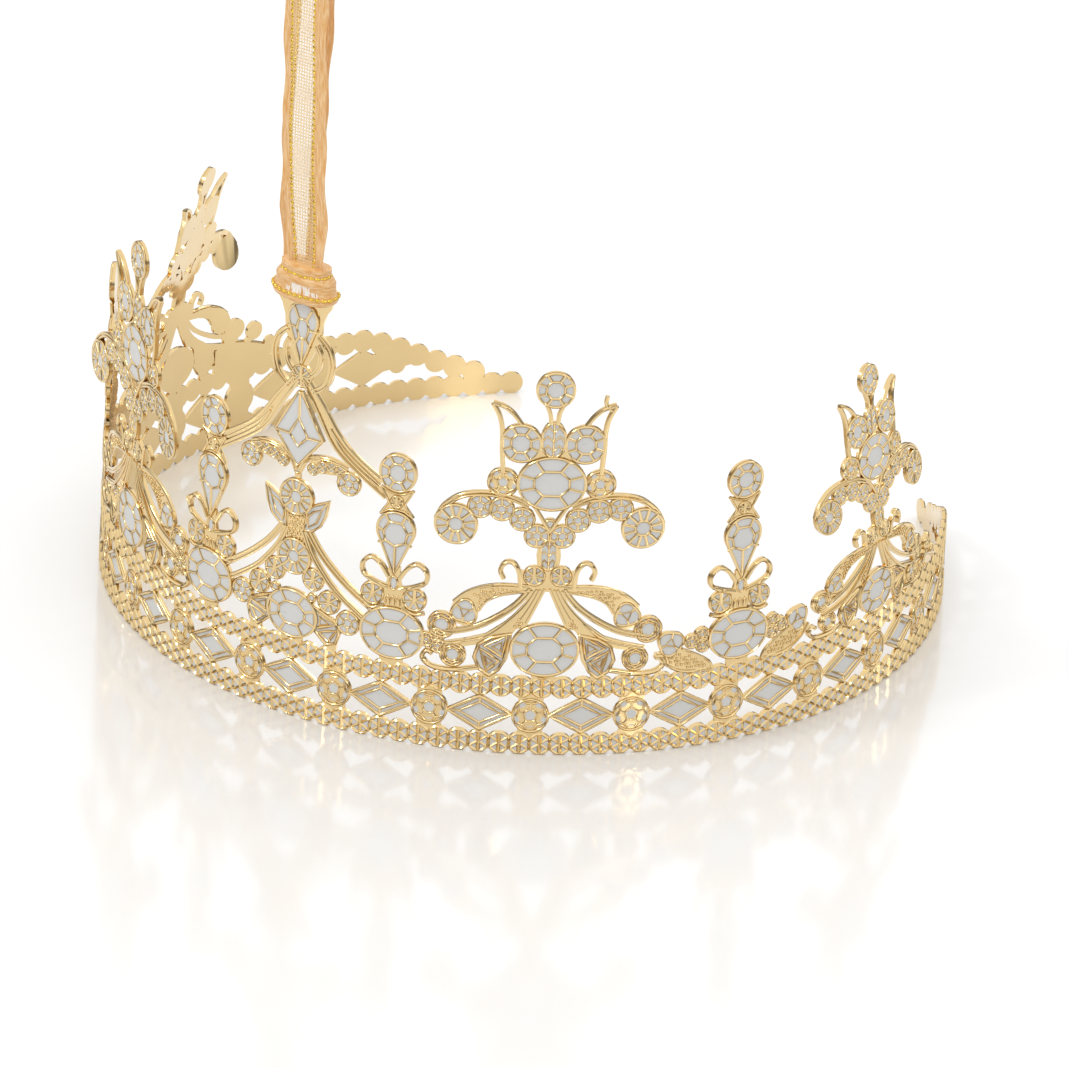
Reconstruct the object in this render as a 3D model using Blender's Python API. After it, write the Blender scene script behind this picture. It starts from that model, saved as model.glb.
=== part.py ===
"""A miniature crown that hangs from a ribbon.

One thin brass sheet is etched through to its outline, bent into an open ring, and filled with enamel
cells. A gathered ribbon goes through the tab on top of the middle ornament and is knotted there.

The artwork is drawn flat, in pitches: s runs along the band from the middle of the front, z runs up.
The sheet is then bent: s follows the ring's curve, and t, the depth, goes outwards from its inner face.
"""

import math

import bmesh
import bpy
from mathutils import Matrix, Vector
from mathutils.geometry import delaunay_2d_cdt, intersect_point_line

MM = 0.001

# Driving sizes
PITCH = 2.2 * MM  # from one bead of the edge rails to the next
SHEET = 0.35 * MM  # thickness of the brass
CELL_GAP = 0.05 * MM  # between the brass and the back of an enamel cell
CELL = 0.12 * MM  # thickness of the enamel
RIM = 0.16  # width of the brass rim round each enamel cell, in pitches

# The ring's curve: how fast it turns for each pitch along the band, even on both sides of the front
TURN = 0.0467
TURN_SQUARE = 0.0132
TURN_FOURTH = -0.0157
TURN_REACH = 40.0
FACET = 3.5  # the bent sheet is flat for this many pitches at a time
TOO_FINE = 0.15  # an outline point this near the line between its neighbours is left out
SMALL_HOLE = 0.6  # holes with no side longer than this are left out
FIRST_BEND = 0.5  # the first bend on each side of the middle of the front

# The band, in pitches
TIP = 53  # number of the last bead on each side
RAIL_END = 45  # where the upper rail starts to come down to the lower one
BEAD = 0.5 / math.cos(math.radians(36))  # bead radius: neighbours meet at two corners
BEAD_SIDES = 10
LOW_RAIL = BEAD * math.cos(math.radians(18))  # height of the lower bead centres
HIGH_RAIL = 3.64
TAPER = (3.35, 2.94, 2.49, 2.03, 1.66, 1.28)  # bead centres where the upper rail comes down
PANEL = 5.0  # spacing of the lozenges and of the rosettes between them
BAND_MIDDLE = 2.14
RAIL_EDGE = 0.62  # from a rail's bead centres to its straight inner edge
RAIL_TOP = 4.2  # the ornaments stand on this height

# The ornaments: their axes along the band, and how the outer ones are drawn smaller
SPIRES = (5.45, 23.0)
BOUQUETS = (13.05, 32.4)
SPIRE_SCALE = ((1.0, 1.0), (1.0, 0.965))
BOUQUET_SCALE = ((1.0, 1.0), (0.9, 0.82))
LEAN_START = 26.0  # beyond this the tall ornaments lean inwards above LEAN_FOOT
LEAN_FOOT = 9.0
LEAN = math.tan(math.radians(8))

# The tab and the ribbon
HOLE = (0.75, 0.3)  # half width and half height of the slot in the tab
HOLE_HEIGHT = 22.95
TAB_TOP = 23.55
SLACK = 0.3 * MM  # between the ribbon and what it touches
KNOT = (1.8, 0.9, 1.05)  # half sizes of the knot across, in depth and in height
KNOT_HEIGHT = 23.6
RIBBON_WIDTH = 6.0 * MM
RIBBON_THICK = 0.3 * MM
LOOP_TOP = 42.5  # height of the fold at the top of the hanging loop
LOOP_HALF = 0.62  # half the distance between its two strands
LOOP_FOOT = 0.5  # the same, where they come out of the knot


# ---------------------------------------------------------------- flat shapes


def polygon(s, z, radius, sides, turn=0.0):
    """A regular polygon, with a corner at the angle turn."""
    angles = [turn + 2 * math.pi * i / sides for i in range(sides)]
    return [(s + radius * math.cos(a), z + radius * math.sin(a)) for a in angles]


def oval(s, z, half_width, half_height, sides=12):
    angles = [2 * math.pi * (i + 0.5) / sides for i in range(sides)]
    return [(s + half_width * math.cos(a), z + half_height * math.sin(a)) for a in angles]


def disc(s, z, radius, sides=8):
    return oval(s, z, radius, radius, sides)


def block(half_width, low, high):
    return [(-half_width, low), (half_width, low), (half_width, high), (-half_width, high)]


def even(half):
    """An outline that is its own mirror image, from the right half of it, bottom to top."""
    return half + [(-s, z) for s, z in reversed(half) if s > 0]


def pear(point, top, half_width, sides=9):
    """A pear shape on the axis: pointed below, round above, in heights."""
    middle = top - half_width * (1 if top > point else -1)
    low, high = math.radians(-25), math.radians(205)
    angles = [low + (high - low) * i / (sides - 1) for i in range(sides)]
    rise = top - middle
    return [(0, point)] + [(half_width * math.cos(a), middle + rise * math.sin(a)) for a in angles]


def smooth(points, steps):
    """Points along a smooth curve through the given ones."""
    ends = [points[0]] + list(points) + [points[-1]]
    line = []
    for a, b, c, d in zip(ends, ends[1:], ends[2:], ends[3:]):
        for i in range(steps):
            f = i / steps
            line.append(
                tuple(
                    0.5 * (2 * q + f * (r - p) + f * f * (2 * p - 5 * q + 4 * r - w)
                           + f ** 3 * (3 * q - p - 3 * r + w))
                    for p, q, r, w in zip(a, b, c, d)
                )
            )
    return line + [points[-1]]


def wire(points, width, steps=1):
    """A strip of even width along a smooth line, as one four-sided shape for each stretch."""
    line = smooth(points, steps)
    edges = []
    for i, (s, z) in enumerate(line):
        before, after = line[max(i - 1, 0)], line[min(i + 1, len(line) - 1)]
        along = Vector((after[0] - before[0], after[1] - before[1])).normalized()
        side = Vector((-along.y, along.x)) * width / 2
        edges.append(((s + side.x, z + side.y), (s - side.x, z - side.y)))
    return [[a[0], b[0], b[1], a[1]] for a, b in zip(edges, edges[1:])]


# ---------------------------------------------------------------- the ornaments
# Each gives its outlines about its own axis: single ones, and ones that stand on both sides of it.


def middle_ornament():
    single = [
        oval(0, 5.5, 1.5, 1.38),
        block(0.6, 4.0, 4.6),
        disc(0, 8.65, 1.02, 12),
        even([(0.5, 9.3), (0.42, 10.3), (0.6, 11.2)]),
        disc(0, 11.86, 1.02, 12),
        block(0.16, 12.7, 13.9),
        disc(0, 13.3, 0.2, 6),
        even([(0, 13.45), (1.5, 15.2), (0.25, 17.6), (0.25, 18.1)]),
        disc(0, 18.4, 0.66),
        even(
            [(0, 18.6), (0.5, 19.4), (1.05, 20.6), (1.12, 21.4), (1.55, 22.4), (1.62, 23.0),
             (1.3, 23.4), (0.8, TAB_TOP)]
        ),
    ]
    pairs = [
        disc(1.1, 6.65, 0.28, 6),
        [(1.2, 6.3), (1.3, 4.9), (2.1, 4.1), (2.5, 4.1), (2.75, 4.9), (2.5, 5.6)],
        disc(2.05, 6.65, 0.66),
        disc(1.12, 7.65, 0.64),
        disc(3.12, 5.8, 0.68),
        [(0.5, 10.1), (1.35, 10.45), (1.75, 11.2), (1.88, 12.1), (1.1, 11.75), (0.6, 11.4)],
        disc(2.88, 13.3, 0.66),
        [(0.5, 13.6), (0.8, 13.2), (1.2, 13.35), (2.4, 13.5), (2.4, 14.2), (0.8, 14.1)],
        *wire([(0.1, 13.3), (0.45, 13.95), (1.0, 14.25), (1.9, 14.38), (2.8, 14.0)], 0.24),
        *wire([(0.75, 10.2), (1.35, 9.35), (2.0, 8.65), (3.0, 7.8), (4.3, 6.9)], 0.36),
        *wire([(0.5, 10.1), (0.95, 9.1), (1.6, 8.2), (2.4, 7.35), (4.0, 6.2)], 0.28),
        *wire([(0.3, 18.2), (1.25, 17.0), (2.0, 15.9), (3.0, 14.85), (4.6, 13.75)], 0.42),
        *wire([(0.2, 18.2), (1.05, 16.9), (1.85, 15.5), (2.7, 14.6), (4.9, 13.05)], 0.34),
        *wire([(0.7, 17.7), (1.4, 18.3), (1.68, 19.3), (1.45, 20.2), (0.9, 20.75)], 0.34, 2),
        *wire([(0.4, 18.4), (0.9, 19.0), (1.02, 19.7), (0.8, 20.2)], 0.24),
    ]
    return single, pairs


def spire():
    single = [
        oval(0, 5.8, 1.68, 1.42),
        block(0.6, 4.0, 4.6),
        even([(0.55, 7.0), (0.5, 8.0), (0.36, 8.6), (0.3, 9.4)]),
        pear(8.9, 12.4, 1.02),
        even([(0.9, 12.15), (0.38, 12.8), (0.9, 13.55)]),
        oval(0, 14.45, 1.0, 1.05),
    ]
    pairs = [
        disc(1.08, 7.75, 0.64),
        *wire(
            [(0.3, 8.2), (1.0, 8.4), (1.6, 8.75), (1.65, 9.3), (1.2, 9.68), (0.7, 9.4), (0.3, 8.8)],
            0.22,
        ),
    ]
    return single, pairs


def bouquet():
    single = [
        oval(0, 5.7, 1.72, 1.45),
        block(0.6, 4.0, 4.6),
        even([(0.9, 8.85), (1.25, 9.0), (1.36, 9.95)]),
        even([(0.5, 9.9), (0.6, 10.8), (0.5, 11.7)]),
        disc(0, 12.45, 0.3, 6),
        oval(0, 14.7, 1.7, 1.46),
        even([(1.15, 15.8), (0.8, 16.4)]),
        oval(0, 17.05, 0.64, 1.05, 8),
        disc(0, 19.75, 0.98, 12),
    ]
    pairs = [
        disc(0.65, 9.75, 0.6),
        *wire([(1.3, 9.0), (1.42, 9.9), (1.75, 10.35), (2.1, 10.3), (2.32, 9.9), (2.15, 9.45)], 0.22),
        disc(0.6, 11.85, 0.68),
        disc(1.33, 12.75, 0.68),
        disc(2.4, 13.2, 0.66, 6),
        disc(3.45, 13.3, 0.66, 6),
        *wire([(0, 12.2), (0.85, 13.6)], 0.24),
        [(1.0, 13.3), (2.6, 13.0), (3.9, 13.0), (3.45, 12.5), (3.5, 11.8), (4.15, 11.08), (5.1, 11.12),
         (5.7, 11.95), (5.4, 13.0), (4.3, 13.88), (3.2, 14.15), (1.8, 13.95)],
        disc(2.36, 14.65, 0.78),
        disc(1.55, 16.82, 1.05, 12),
        *wire([(2.45, 15.1), (2.5, 17.4), (3.02, 18.85)], 0.24),
        *wire([(3.02, 18.85), (2.3, 18.62), (1.5, 17.7)], 0.24),
        *wire([(0.13, 17.9), (0.2, 18.5), (0.5, 19.15)], 0.22),
        [(0.05, 9.0), (0.45, 8.1), (0.95, 6.9), (1.55, 6.7), (1.75, 7.3), (1.05, 8.2), (0.75, 9.0)],
        *wire([(0.8, 8.95), (1.5, 8.05), (2.5, 7.25), (3.6, 6.65), (5.0, 6.25)], 0.3),
        [(1.1, 7.2), (1.6, 6.5), (2.6, 5.9), (3.6, 5.7), (4.8, 5.4), (5.0, 5.75), (3.9, 6.05),
         (2.9, 6.4), (2.0, 7.1), (1.5, 7.6)],
        [(1.6, 6.5), (1.8, 5.0), (2.4, 4.1), (2.9, 4.1), (3.4, 4.6), (3.55, 5.1), (3.35, 5.9),
         (2.7, 6.3)],
        [(0.8, 8.85), (2.1, 8.6), (2.9, 8.2), (3.3, 7.6), (3.4, 7.0), (3.9, 6.7), (4.45, 6.8),
         (4.75, 7.4), (4.55, 8.0), (3.9, 8.6), (3.0, 9.0), (2.0, 9.15), (0.8, 9.1)],
        disc(5.1, 6.7, 0.74),
        disc(4.5, 5.15, 0.68),
        *wire([(3.2, 4.55), (4.4, 4.3), (5.5, 4.33), (6.02, 4.75), (5.8, 5.15)], 0.26),
    ]
    return single, pairs


def trefoil(s, z):
    """Three small honeycomb beads, the single one towards the middle of the front."""
    return [disc(s - 0.28, z, 0.42), disc(s + 0.3, z - 0.25, 0.44), disc(s + 0.25, z + 0.3, 0.42)]


def long_side():
    """What fills the long stretch between a bouquet and the outer spire: three-sided gem, leaf, trefoil."""
    leaf = [(5.5, 5.3), (6.0, 4.7), (7.0, 4.1), (8.5, 4.05), (8.4, 4.5), (7.6, 5.05), (6.9, 5.4)]
    return [disc(6.3, 5.75, 0.74), leaf, *trefoil(7.7, 5.72)]


def end_sprig():
    """The last leaf of the upper edge, with a round bead and two buds on stalks."""
    return [
        [(35.6, 4.0), (39.2, 4.0), (39.9, 4.4), (38.0, 5.1), (36.6, 5.4), (35.6, 5.3)],
        disc(36.75, 5.85, 0.58),
        disc(38.35, 5.65, 0.55),
        *wire([(37.5, 4.8), (38.1, 5.3)], 0.3),
        disc(39.4, 4.75, 0.38, 6),
    ]


# ---------------------------------------------------------------- the whole outline


def placed(outline, axis, scale, side):
    """An outline moved to its ornament's axis, on the side +1 or -1 of the front."""
    wide, tall = scale
    return [(side * (axis + wide * s), RAIL_TOP + tall * (z - RAIL_TOP)) for s, z in outline]


def flipped(outline):
    return [(-s, z) for s, z in outline]


def ornament(parts, axis, scale, side):
    single, pairs = parts
    shapes = single + pairs + [flipped(p) for p in pairs]
    return [placed(shape, axis, scale, side) for shape in shapes]


def band():
    """Two rails of beads, and the lozenges and rosettes between them."""
    turn = math.radians(18)
    low = [(s, LOW_RAIL) for s in range(-TIP, TIP + 1)]
    high = [(s, HIGH_RAIL) for s in range(-RAIL_END, RAIL_END + 1)]
    for i, z in enumerate(TAPER):
        high += [(side * (RAIL_END + 1 + i), z) for side in (-1, 1)]
    shapes = [polygon(s, z, BEAD, BEAD_SIDES, turn + math.radians(18)) for s, z in low + high]
    for half, low, high in (
        (TIP - 2, LOW_RAIL, LOW_RAIL + RAIL_EDGE),
        (RAIL_END, HIGH_RAIL - RAIL_EDGE, HIGH_RAIL),
    ):
        shapes.append(block(half, low, high))
    count = int(RAIL_END // PANEL)
    for i in range(-count, count + 1):
        s = i * PANEL
        shapes.append([(s - 1.75, BAND_MIDDLE), (s, BAND_MIDDLE - 1.0), (s + 1.75, BAND_MIDDLE),
                       (s, BAND_MIDDLE + 1.0)])
    for i in range(-count, count):
        shapes.append(oval((i + 0.5) * PANEL, BAND_MIDDLE, 1.05, 1.15, 6))
    for side in (-1, 1):
        tail = [(44.5, 2.1), (46.2, 1.8), (47.6, 2.3), (47.2, 2.9), (46.0, 3.0)]
        shapes.append([(side * s, z) for s, z in tail])
    return shapes


def sheet_outline():
    """Every shape that the sheet is made of, and the slot that is cut through it."""
    shapes = band() + ornament(middle_ornament(), 0, (1, 1), 1)
    for side in (-1, 1):
        for axis, scale in zip(SPIRES, SPIRE_SCALE):
            shapes += ornament(spire(), axis, scale, side)
        inner, outer = BOUQUETS
        for axis, scale in zip(BOUQUETS, BOUQUET_SCALE):
            shapes += ornament(bouquet(), axis, scale, side)
        shapes += [placed(p, inner, BOUQUET_SCALE[0], side) for p in long_side()]
        shapes += [placed(flipped(p), outer, (0.93, 1), side) for p in long_side()]
        shapes += [placed(p, 0, (1, 1), side) for p in trefoil(7.5, 5.75) + end_sprig()]
    slot = [block(HOLE[0], HOLE_HEIGHT - HOLE[1], HOLE_HEIGHT + HOLE[1])]
    return shapes, slot


# ---------------------------------------------------------------- bending


def heading(s):
    """The direction of the ring's curve at s, as an angle."""
    r = s / TURN_REACH
    return s * (TURN + TURN_SQUARE * r ** 2 / 3 + TURN_FOURTH * r ** 4 / 5)


def bends():
    """The lines where the sheet bends, on the right side, as (s, x, y, outward x, outward y)."""
    rows, x, y, s = [], 0.0, 0.0, -FIRST_BEND
    while s < TIP + 1 + FACET:
        out = heading(s)
        rows.append((s, x, y, math.sin(out), -math.cos(out)))
        step = 2 * FIRST_BEND if s < 0 else FACET
        middle = heading(s + step / 2)
        x += step * math.cos(middle)
        y += step * math.sin(middle)
        s += step
    half = rows[1][1] / 2
    return [(s, x - half, y, *out) for s, x, y, *out in rows]


BENDS = bends()


def bent(s, z, t):
    """Where a point of the flat sheet goes, in metres: t is the depth, outwards, in metres."""
    i = max(0, math.floor((abs(s) - FIRST_BEND) / FACET) + 1)
    before, after = BENDS[i], BENDS[i + 1]
    f = (abs(s) - before[0]) / (after[0] - before[0])
    _, x, y, out_x, out_y = (p + f * (q - p) for p, q in zip(before, after))
    if abs(s) > LEAN_START and z > LEAN_FOOT:
        t -= LEAN * (z - LEAN_FOOT) * PITCH
    return Vector((math.copysign(x * PITCH + t * out_x, s), y * PITCH + t * out_y, z * PITCH))


# ---------------------------------------------------------------- solids


def counter_clockwise(outline):
    turned = zip(outline, outline[1:] + outline[:1])
    area = sum(p[0] * q[1] - q[0] * p[1] for p, q in turned)
    return outline if area > 0 else outline[::-1]


def flat_region(shapes, cuts=()):
    """One flat region that all the shapes cover, less the cuts, as a bmesh in the XZ plane."""
    points, faces = [], []
    for shape in [*shapes, *cuts]:
        faces.append(list(range(len(points), len(points) + len(shape))))
        points += [Vector(p) for p in counter_clockwise(shape)]
    made = delaunay_2d_cdt(points, [], faces, 1, 0.0005)
    bm = bmesh.new()
    verts = [bm.verts.new((p.x, 0, p.y)) for p in made[0]]
    for corners, covered_by in zip(made[2], made[5]):
        if covered_by and max(covered_by) < len(shapes):
            bm.faces.new([verts[i] for i in corners])
    bmesh.ops.delete(bm, geom=[v for v in bm.verts if not v.link_faces], context="VERTS")
    bmesh.ops.dissolve_limit(
        bm, angle_limit=math.radians(3), verts=bm.verts, edges=bm.edges, use_dissolve_boundaries=False
    )
    return bm


def is_clear(bm, corner, before, after):
    """Whether a corner can be cut straight across without coming near another part of the outline."""
    reach = (after.co - before.co).length + TOO_FINE
    for other in bm.verts:
        if abs(other.co.x - corner.co.x) < reach and abs(other.co.z - corner.co.z) < reach:
            if other not in (corner, before, after):
                beside, along = intersect_point_line(other.co, before.co, after.co)
                if 0 < along < 1 and (other.co - beside).length < 1.5 * TOO_FINE:
                    return False
    return True


def weed(bm):
    """Fills the smallest holes, and takes out outline points almost on the line between neighbours.

    The lower edge, on which the crown stands, keeps all its points.
    """
    short = [e for e in bm.edges if e.is_boundary and e.calc_length() < SMALL_HOLE]
    bmesh.ops.holes_fill(bm, edges=short, sides=6)
    bmesh.ops.dissolve_limit(
        bm, angle_limit=math.radians(3), verts=bm.verts, edges=bm.edges, use_dissolve_boundaries=False
    )
    settled, spare = set(), []
    for v in bm.verts:
        ends = [e.other_vert(v) for e in v.link_edges]
        if v.co.z > LOW_RAIL and len(ends) == 2 and not settled.intersection(ends):
            along = ends[1].co - ends[0].co
            off = (v.co - ends[0].co).cross(along).length / along.length
            if off < TOO_FINE and is_clear(bm, v, *ends):
                spare.append(v)
                settled.update([v, *ends])
    bmesh.ops.dissolve_verts(bm, verts=spare)


def cut_at_bends(bm):
    """Edges along the lines where the sheet bends, so that the region can follow the ring."""
    for s, *_ in BENDS[1:]:
        for side in (-1, 1):
            bmesh.ops.bisect_plane(
                bm,
                geom=[*bm.verts, *bm.edges, *bm.faces],
                dist=1e-4,
                plane_co=(side * s, 0, 0),
                plane_no=(1, 0, 0),
            )


def thickened(bm):
    """Gives a flat region a second face and its edges, and returns the corners of the second face."""
    bmesh.ops.triangulate(bm, faces=bm.faces)
    front = bmesh.ops.extrude_face_region(bm, geom=bm.faces[:], use_keep_orig=True)
    return {v for v in front["geom"] if isinstance(v, bmesh.types.BMVert)}


def bent_plate(name, bm, depth, thickness, finish):
    """A plate from a flat region, bent to the ring's curve, from depth outwards, as an object."""
    cut_at_bends(bm)
    raised = thickened(bm)
    for v in bm.verts:
        v.co = bent(v.co.x, v.co.z, depth + (thickness if v in raised else 0))
    return as_object(name, bm, finish)


def as_object(name, bm, finish):
    """A closed solid as a named object, all its faces turned outwards."""
    bmesh.ops.recalc_face_normals(bm, faces=bm.faces)
    if bm.calc_volume(signed=True) < 0:
        bmesh.ops.reverse_faces(bm, faces=bm.faces)
    mesh = bpy.data.meshes.new(name)
    bm.to_mesh(mesh)
    bm.free()
    mesh.materials.append(finish)
    obj = bpy.data.objects.new(name, mesh)
    bpy.context.scene.collection.objects.link(obj)
    return obj


# ---------------------------------------------------------------- the enamel cells


def shrunk(outline, by):
    """An outline pulled in towards its middle by about the given distance."""
    s0 = sum(s for s, _ in outline) / len(outline)
    z0 = sum(z for _, z in outline) / len(outline)
    small = []
    for s, z in outline:
        away = Vector((s - s0, z - z0))
        small.append((s0 + away.x * (1 - by / away.length), z0 + away.y * (1 - by / away.length)))
    return small


def middle_cells():
    return {
        "base_gem": oval(0, 5.5, 1.5, 1.38),
        "lower_round_gem": disc(0, 8.65, 1.0, 12),
        "upper_round_gem": disc(0, 11.86, 1.02, 12),
        "kite_gem": [(0, 13.55), (1.4, 15.2), (0, 17.65), (-1.4, 15.2)],
        "pear_gem": pear(18.9, 22.45, 0.9),
    }


def spire_cells():
    return {
        "base_gem": oval(0, 5.8, 1.68, 1.42),
        "pear_gem": pear(8.95, 12.4, 1.02),
        "head_gem": oval(0, 14.45, 1.0, 1.05),
    }


def bouquet_cells():
    cells = {
        "base_gem": oval(0, 5.7, 1.72, 1.45),
        "great_gem": oval(0, 14.7, 1.7, 1.46),
        "top_gem": oval(0, 19.75, 0.97, 0.97),
    }
    for place, turned in (("outer", 1), ("inner", -1)):
        cells[f"{place}_round_gem"] = [(turned * s, z) for s, z in disc(1.55, 16.82, 1.0, 12)]
        cells[f"{place}_volute_gem"] = [(turned * s, z) for s, z in disc(4.6, 12.15, 0.96, 12)]
    return cells


def enamel_cells(finish):
    """One thin enamel filling for each large gem, on the front of the sheet."""
    groups = [("middle", middle_cells(), 0, (1, 1), 1)]
    for side, word in ((-1, "left"), (1, "right")):
        for i, (axis, scale) in enumerate(zip(SPIRES, SPIRE_SCALE)):
            groups.append((f"{word}_spire_{i + 1}", spire_cells(), axis, scale, side))
        for i, (axis, scale) in enumerate(zip(BOUQUETS, BOUQUET_SCALE)):
            groups.append((f"{word}_bouquet_{i + 1}", bouquet_cells(), axis, scale, side))
    for place, cells, axis, scale, side in groups:
        for cell, outline in cells.items():
            inside = placed(shrunk(outline, RIM), axis, scale, side)
            filling = flat_region([inside])
            bent_plate(f"enamel_{place}_{cell}", filling, SHEET + CELL_GAP, CELL, finish)


# ---------------------------------------------------------------- the ribbon


def ribbon_route():
    """The line that the loop of ribbon follows: up in front, over, and down behind, as (y, z)."""
    foot = (KNOT_HEIGHT + KNOT[2]) * PITCH + SLACK
    top = LOOP_TOP * PITCH
    near, wide = LOOP_FOOT * PITCH, LOOP_HALF * PITCH
    third = (top - foot) / 3
    front = [(-near, foot), (-wide, foot + third), (-wide, foot + 2 * third), (-wide, top - wide)]
    fold = [(wide * math.cos(a), top - wide + wide * math.sin(a)) for a in
            (math.radians(d) for d in (150, 120, 90, 60, 30))]
    back = [(-y, z) for y, z in reversed(front)]
    return [(y - SHEET / 2, z) for y, z in front + fold + back]


def ribbon_loop(finish):
    """The hanging loop: a flat ribbon, its face towards the front, as one closed strip."""
    strip = wire(ribbon_route(), RIBBON_THICK, 2)
    bm = flat_region(strip)
    raised = thickened(bm)
    for v in bm.verts:
        half = RIBBON_WIDTH / 2 if v in raised else -RIBBON_WIDTH / 2
        v.co = Vector((half, v.co.x, v.co.z))
    return as_object("ribbon_loop", bm, finish)


def ribbon_knot(finish):
    """The knot: a round lump that sits over the tab's top and goes through its slot."""
    bm = bmesh.new()
    bmesh.ops.create_uvsphere(bm, u_segments=16, v_segments=10, radius=1)
    bmesh.ops.scale(bm, vec=[k * PITCH for k in KNOT], verts=bm.verts)
    bmesh.ops.translate(bm, vec=(0, -SHEET / 2, KNOT_HEIGHT * PITCH), verts=bm.verts)
    knot = as_object("ribbon_knot", bm, finish)
    slack = SLACK / PITCH
    tab = [block(2.5, 20.0, TAB_TOP + slack)]
    through = [block(HOLE[0] - slack, HOLE_HEIGHT - HOLE[1] + slack, HOLE_HEIGHT + HOLE[1] - slack)]
    cutter = bent_plate("tab_room", flat_region(tab, through), -SLACK, SHEET + 2 * SLACK, finish)
    cutter.hide_render = True
    cutter.display_type = "WIRE"
    cut = knot.modifiers.new("tab", "BOOLEAN")
    cut.object = cutter
    return knot


# ---------------------------------------------------------------- the model


def finish(name, color, roughness, metallic):
    material = bpy.data.materials.new(name)
    material.use_nodes = True
    shader = material.node_tree.nodes["Principled BSDF"]
    shader.inputs["Base Color"].default_value = (*color, 1)
    shader.inputs["Roughness"].default_value = roughness
    shader.inputs["Metallic"].default_value = metallic
    return material


def centre_on_floor():
    """Moves everything so that the origin is under the middle of the ring."""
    sheet = bpy.data.objects["etched_sheet"]
    ys = [v.co.y for v in sheet.data.vertices]
    shift = Matrix.Translation((0, -(min(ys) + max(ys)) / 2, 0))
    for obj in bpy.data.objects:
        obj.data.transform(shift)


def build():
    for obj in list(bpy.data.objects):
        bpy.data.objects.remove(obj)
    brass = finish("gold_plated_brass", (0.83, 0.63, 0.34), 0.25, 1.0)
    enamel = finish("silver_white_enamel", (0.66, 0.66, 0.65), 0.45, 0.2)
    ribbon = finish("peach_ribbon", (0.8, 0.45, 0.2), 0.6, 0.0)
    region = flat_region(*sheet_outline())
    weed(region)
    weed(region)
    bent_plate("etched_sheet", region, 0, SHEET, brass)
    enamel_cells(enamel)
    ribbon_loop(ribbon)
    ribbon_knot(ribbon)
    centre_on_floor()


build()
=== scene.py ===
import math
import random

import bmesh
import bpy
from mathutils import Matrix, Vector
from mathutils.geometry import delaunay_2d_cdt


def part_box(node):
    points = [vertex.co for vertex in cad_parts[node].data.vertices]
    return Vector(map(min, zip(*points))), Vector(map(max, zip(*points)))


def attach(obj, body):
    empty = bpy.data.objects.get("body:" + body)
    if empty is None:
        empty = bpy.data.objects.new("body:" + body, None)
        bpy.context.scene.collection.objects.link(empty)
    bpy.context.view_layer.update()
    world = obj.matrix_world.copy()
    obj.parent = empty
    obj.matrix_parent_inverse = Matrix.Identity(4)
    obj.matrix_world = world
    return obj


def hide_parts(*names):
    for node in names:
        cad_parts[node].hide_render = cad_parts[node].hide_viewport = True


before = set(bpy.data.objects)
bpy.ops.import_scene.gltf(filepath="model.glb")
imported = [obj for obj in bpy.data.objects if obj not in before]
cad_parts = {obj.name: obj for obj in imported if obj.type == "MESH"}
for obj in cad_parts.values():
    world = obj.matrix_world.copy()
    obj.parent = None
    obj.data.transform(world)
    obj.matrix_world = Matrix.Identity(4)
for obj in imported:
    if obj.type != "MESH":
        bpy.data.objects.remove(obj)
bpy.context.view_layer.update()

bl_info = {
    "name": "Hanging crown ornament",
    "version": (1, 0, 0),
    "blender": (4, 5, 0),
    "location": "View3D > Sidebar > Crown",
    "description": "A miniature crown of etched and gilt sheet on a loop of sheer ribbon",
    "category": "Add Mesh",
}

MM = 0.001

# ---------------------------------------------------------------- sizes of the sheet
# Flat artwork is in pitches: s runs along the band from the middle of the front, z runs up.

TIP = 53  # number of the last bead on each side
RAIL_END = 45  # where the upper rail starts to come down to the lower one
LOW_RAIL = 0.5
HIGH_RAIL = 3.64
TAPER = (3.35, 2.94, 2.49, 2.03, 1.66, 1.28)  # bead heights where the upper rail comes down
BEAD = 0.6  # radius of a rail bead
PANEL = 5.0  # spacing of the lozenges and of the rosettes between them
BAND_MIDDLE = 2.12
LOZENGE = 1.72  # half width of a lozenge
RAIL_TOP = 4.2  # the ornaments stand on this height
SPIRES = (5.45, 23.0)
BOUQUETS = (13.05, 32.4)
# Scales across and up, for the inner and the outer one; the two outer bouquets are bent differently
SPIRE_SCALES = ((1.0, 1.0), (1.0, 0.965))
BOUQUET_SCALES = {"left": ((1.0, 1.0), (0.9, 0.77)), "right": ((1.0, 1.0), (0.84, 0.795))}

# The ring's curve: how fast it turns for each pitch along the band, in radians, even on both sides: a
# steady turn, and more of it and then less of it towards the ends
TURN = 0.0467
TURN_SQUARE = 0.0132
TURN_FOURTH = -0.0157
TURN_REACH = 40.0
CURVE_STEP = 0.25
LEAN_START = 26.0  # the outer bouquets, which stand beyond this, lean inwards above LEAN_FOOT
LEAN_FOOT = 9.0
LEAN = math.tan(math.radians(8))
HEAD_REACH = 5.95  # half the width of a bouquet's head
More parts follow.
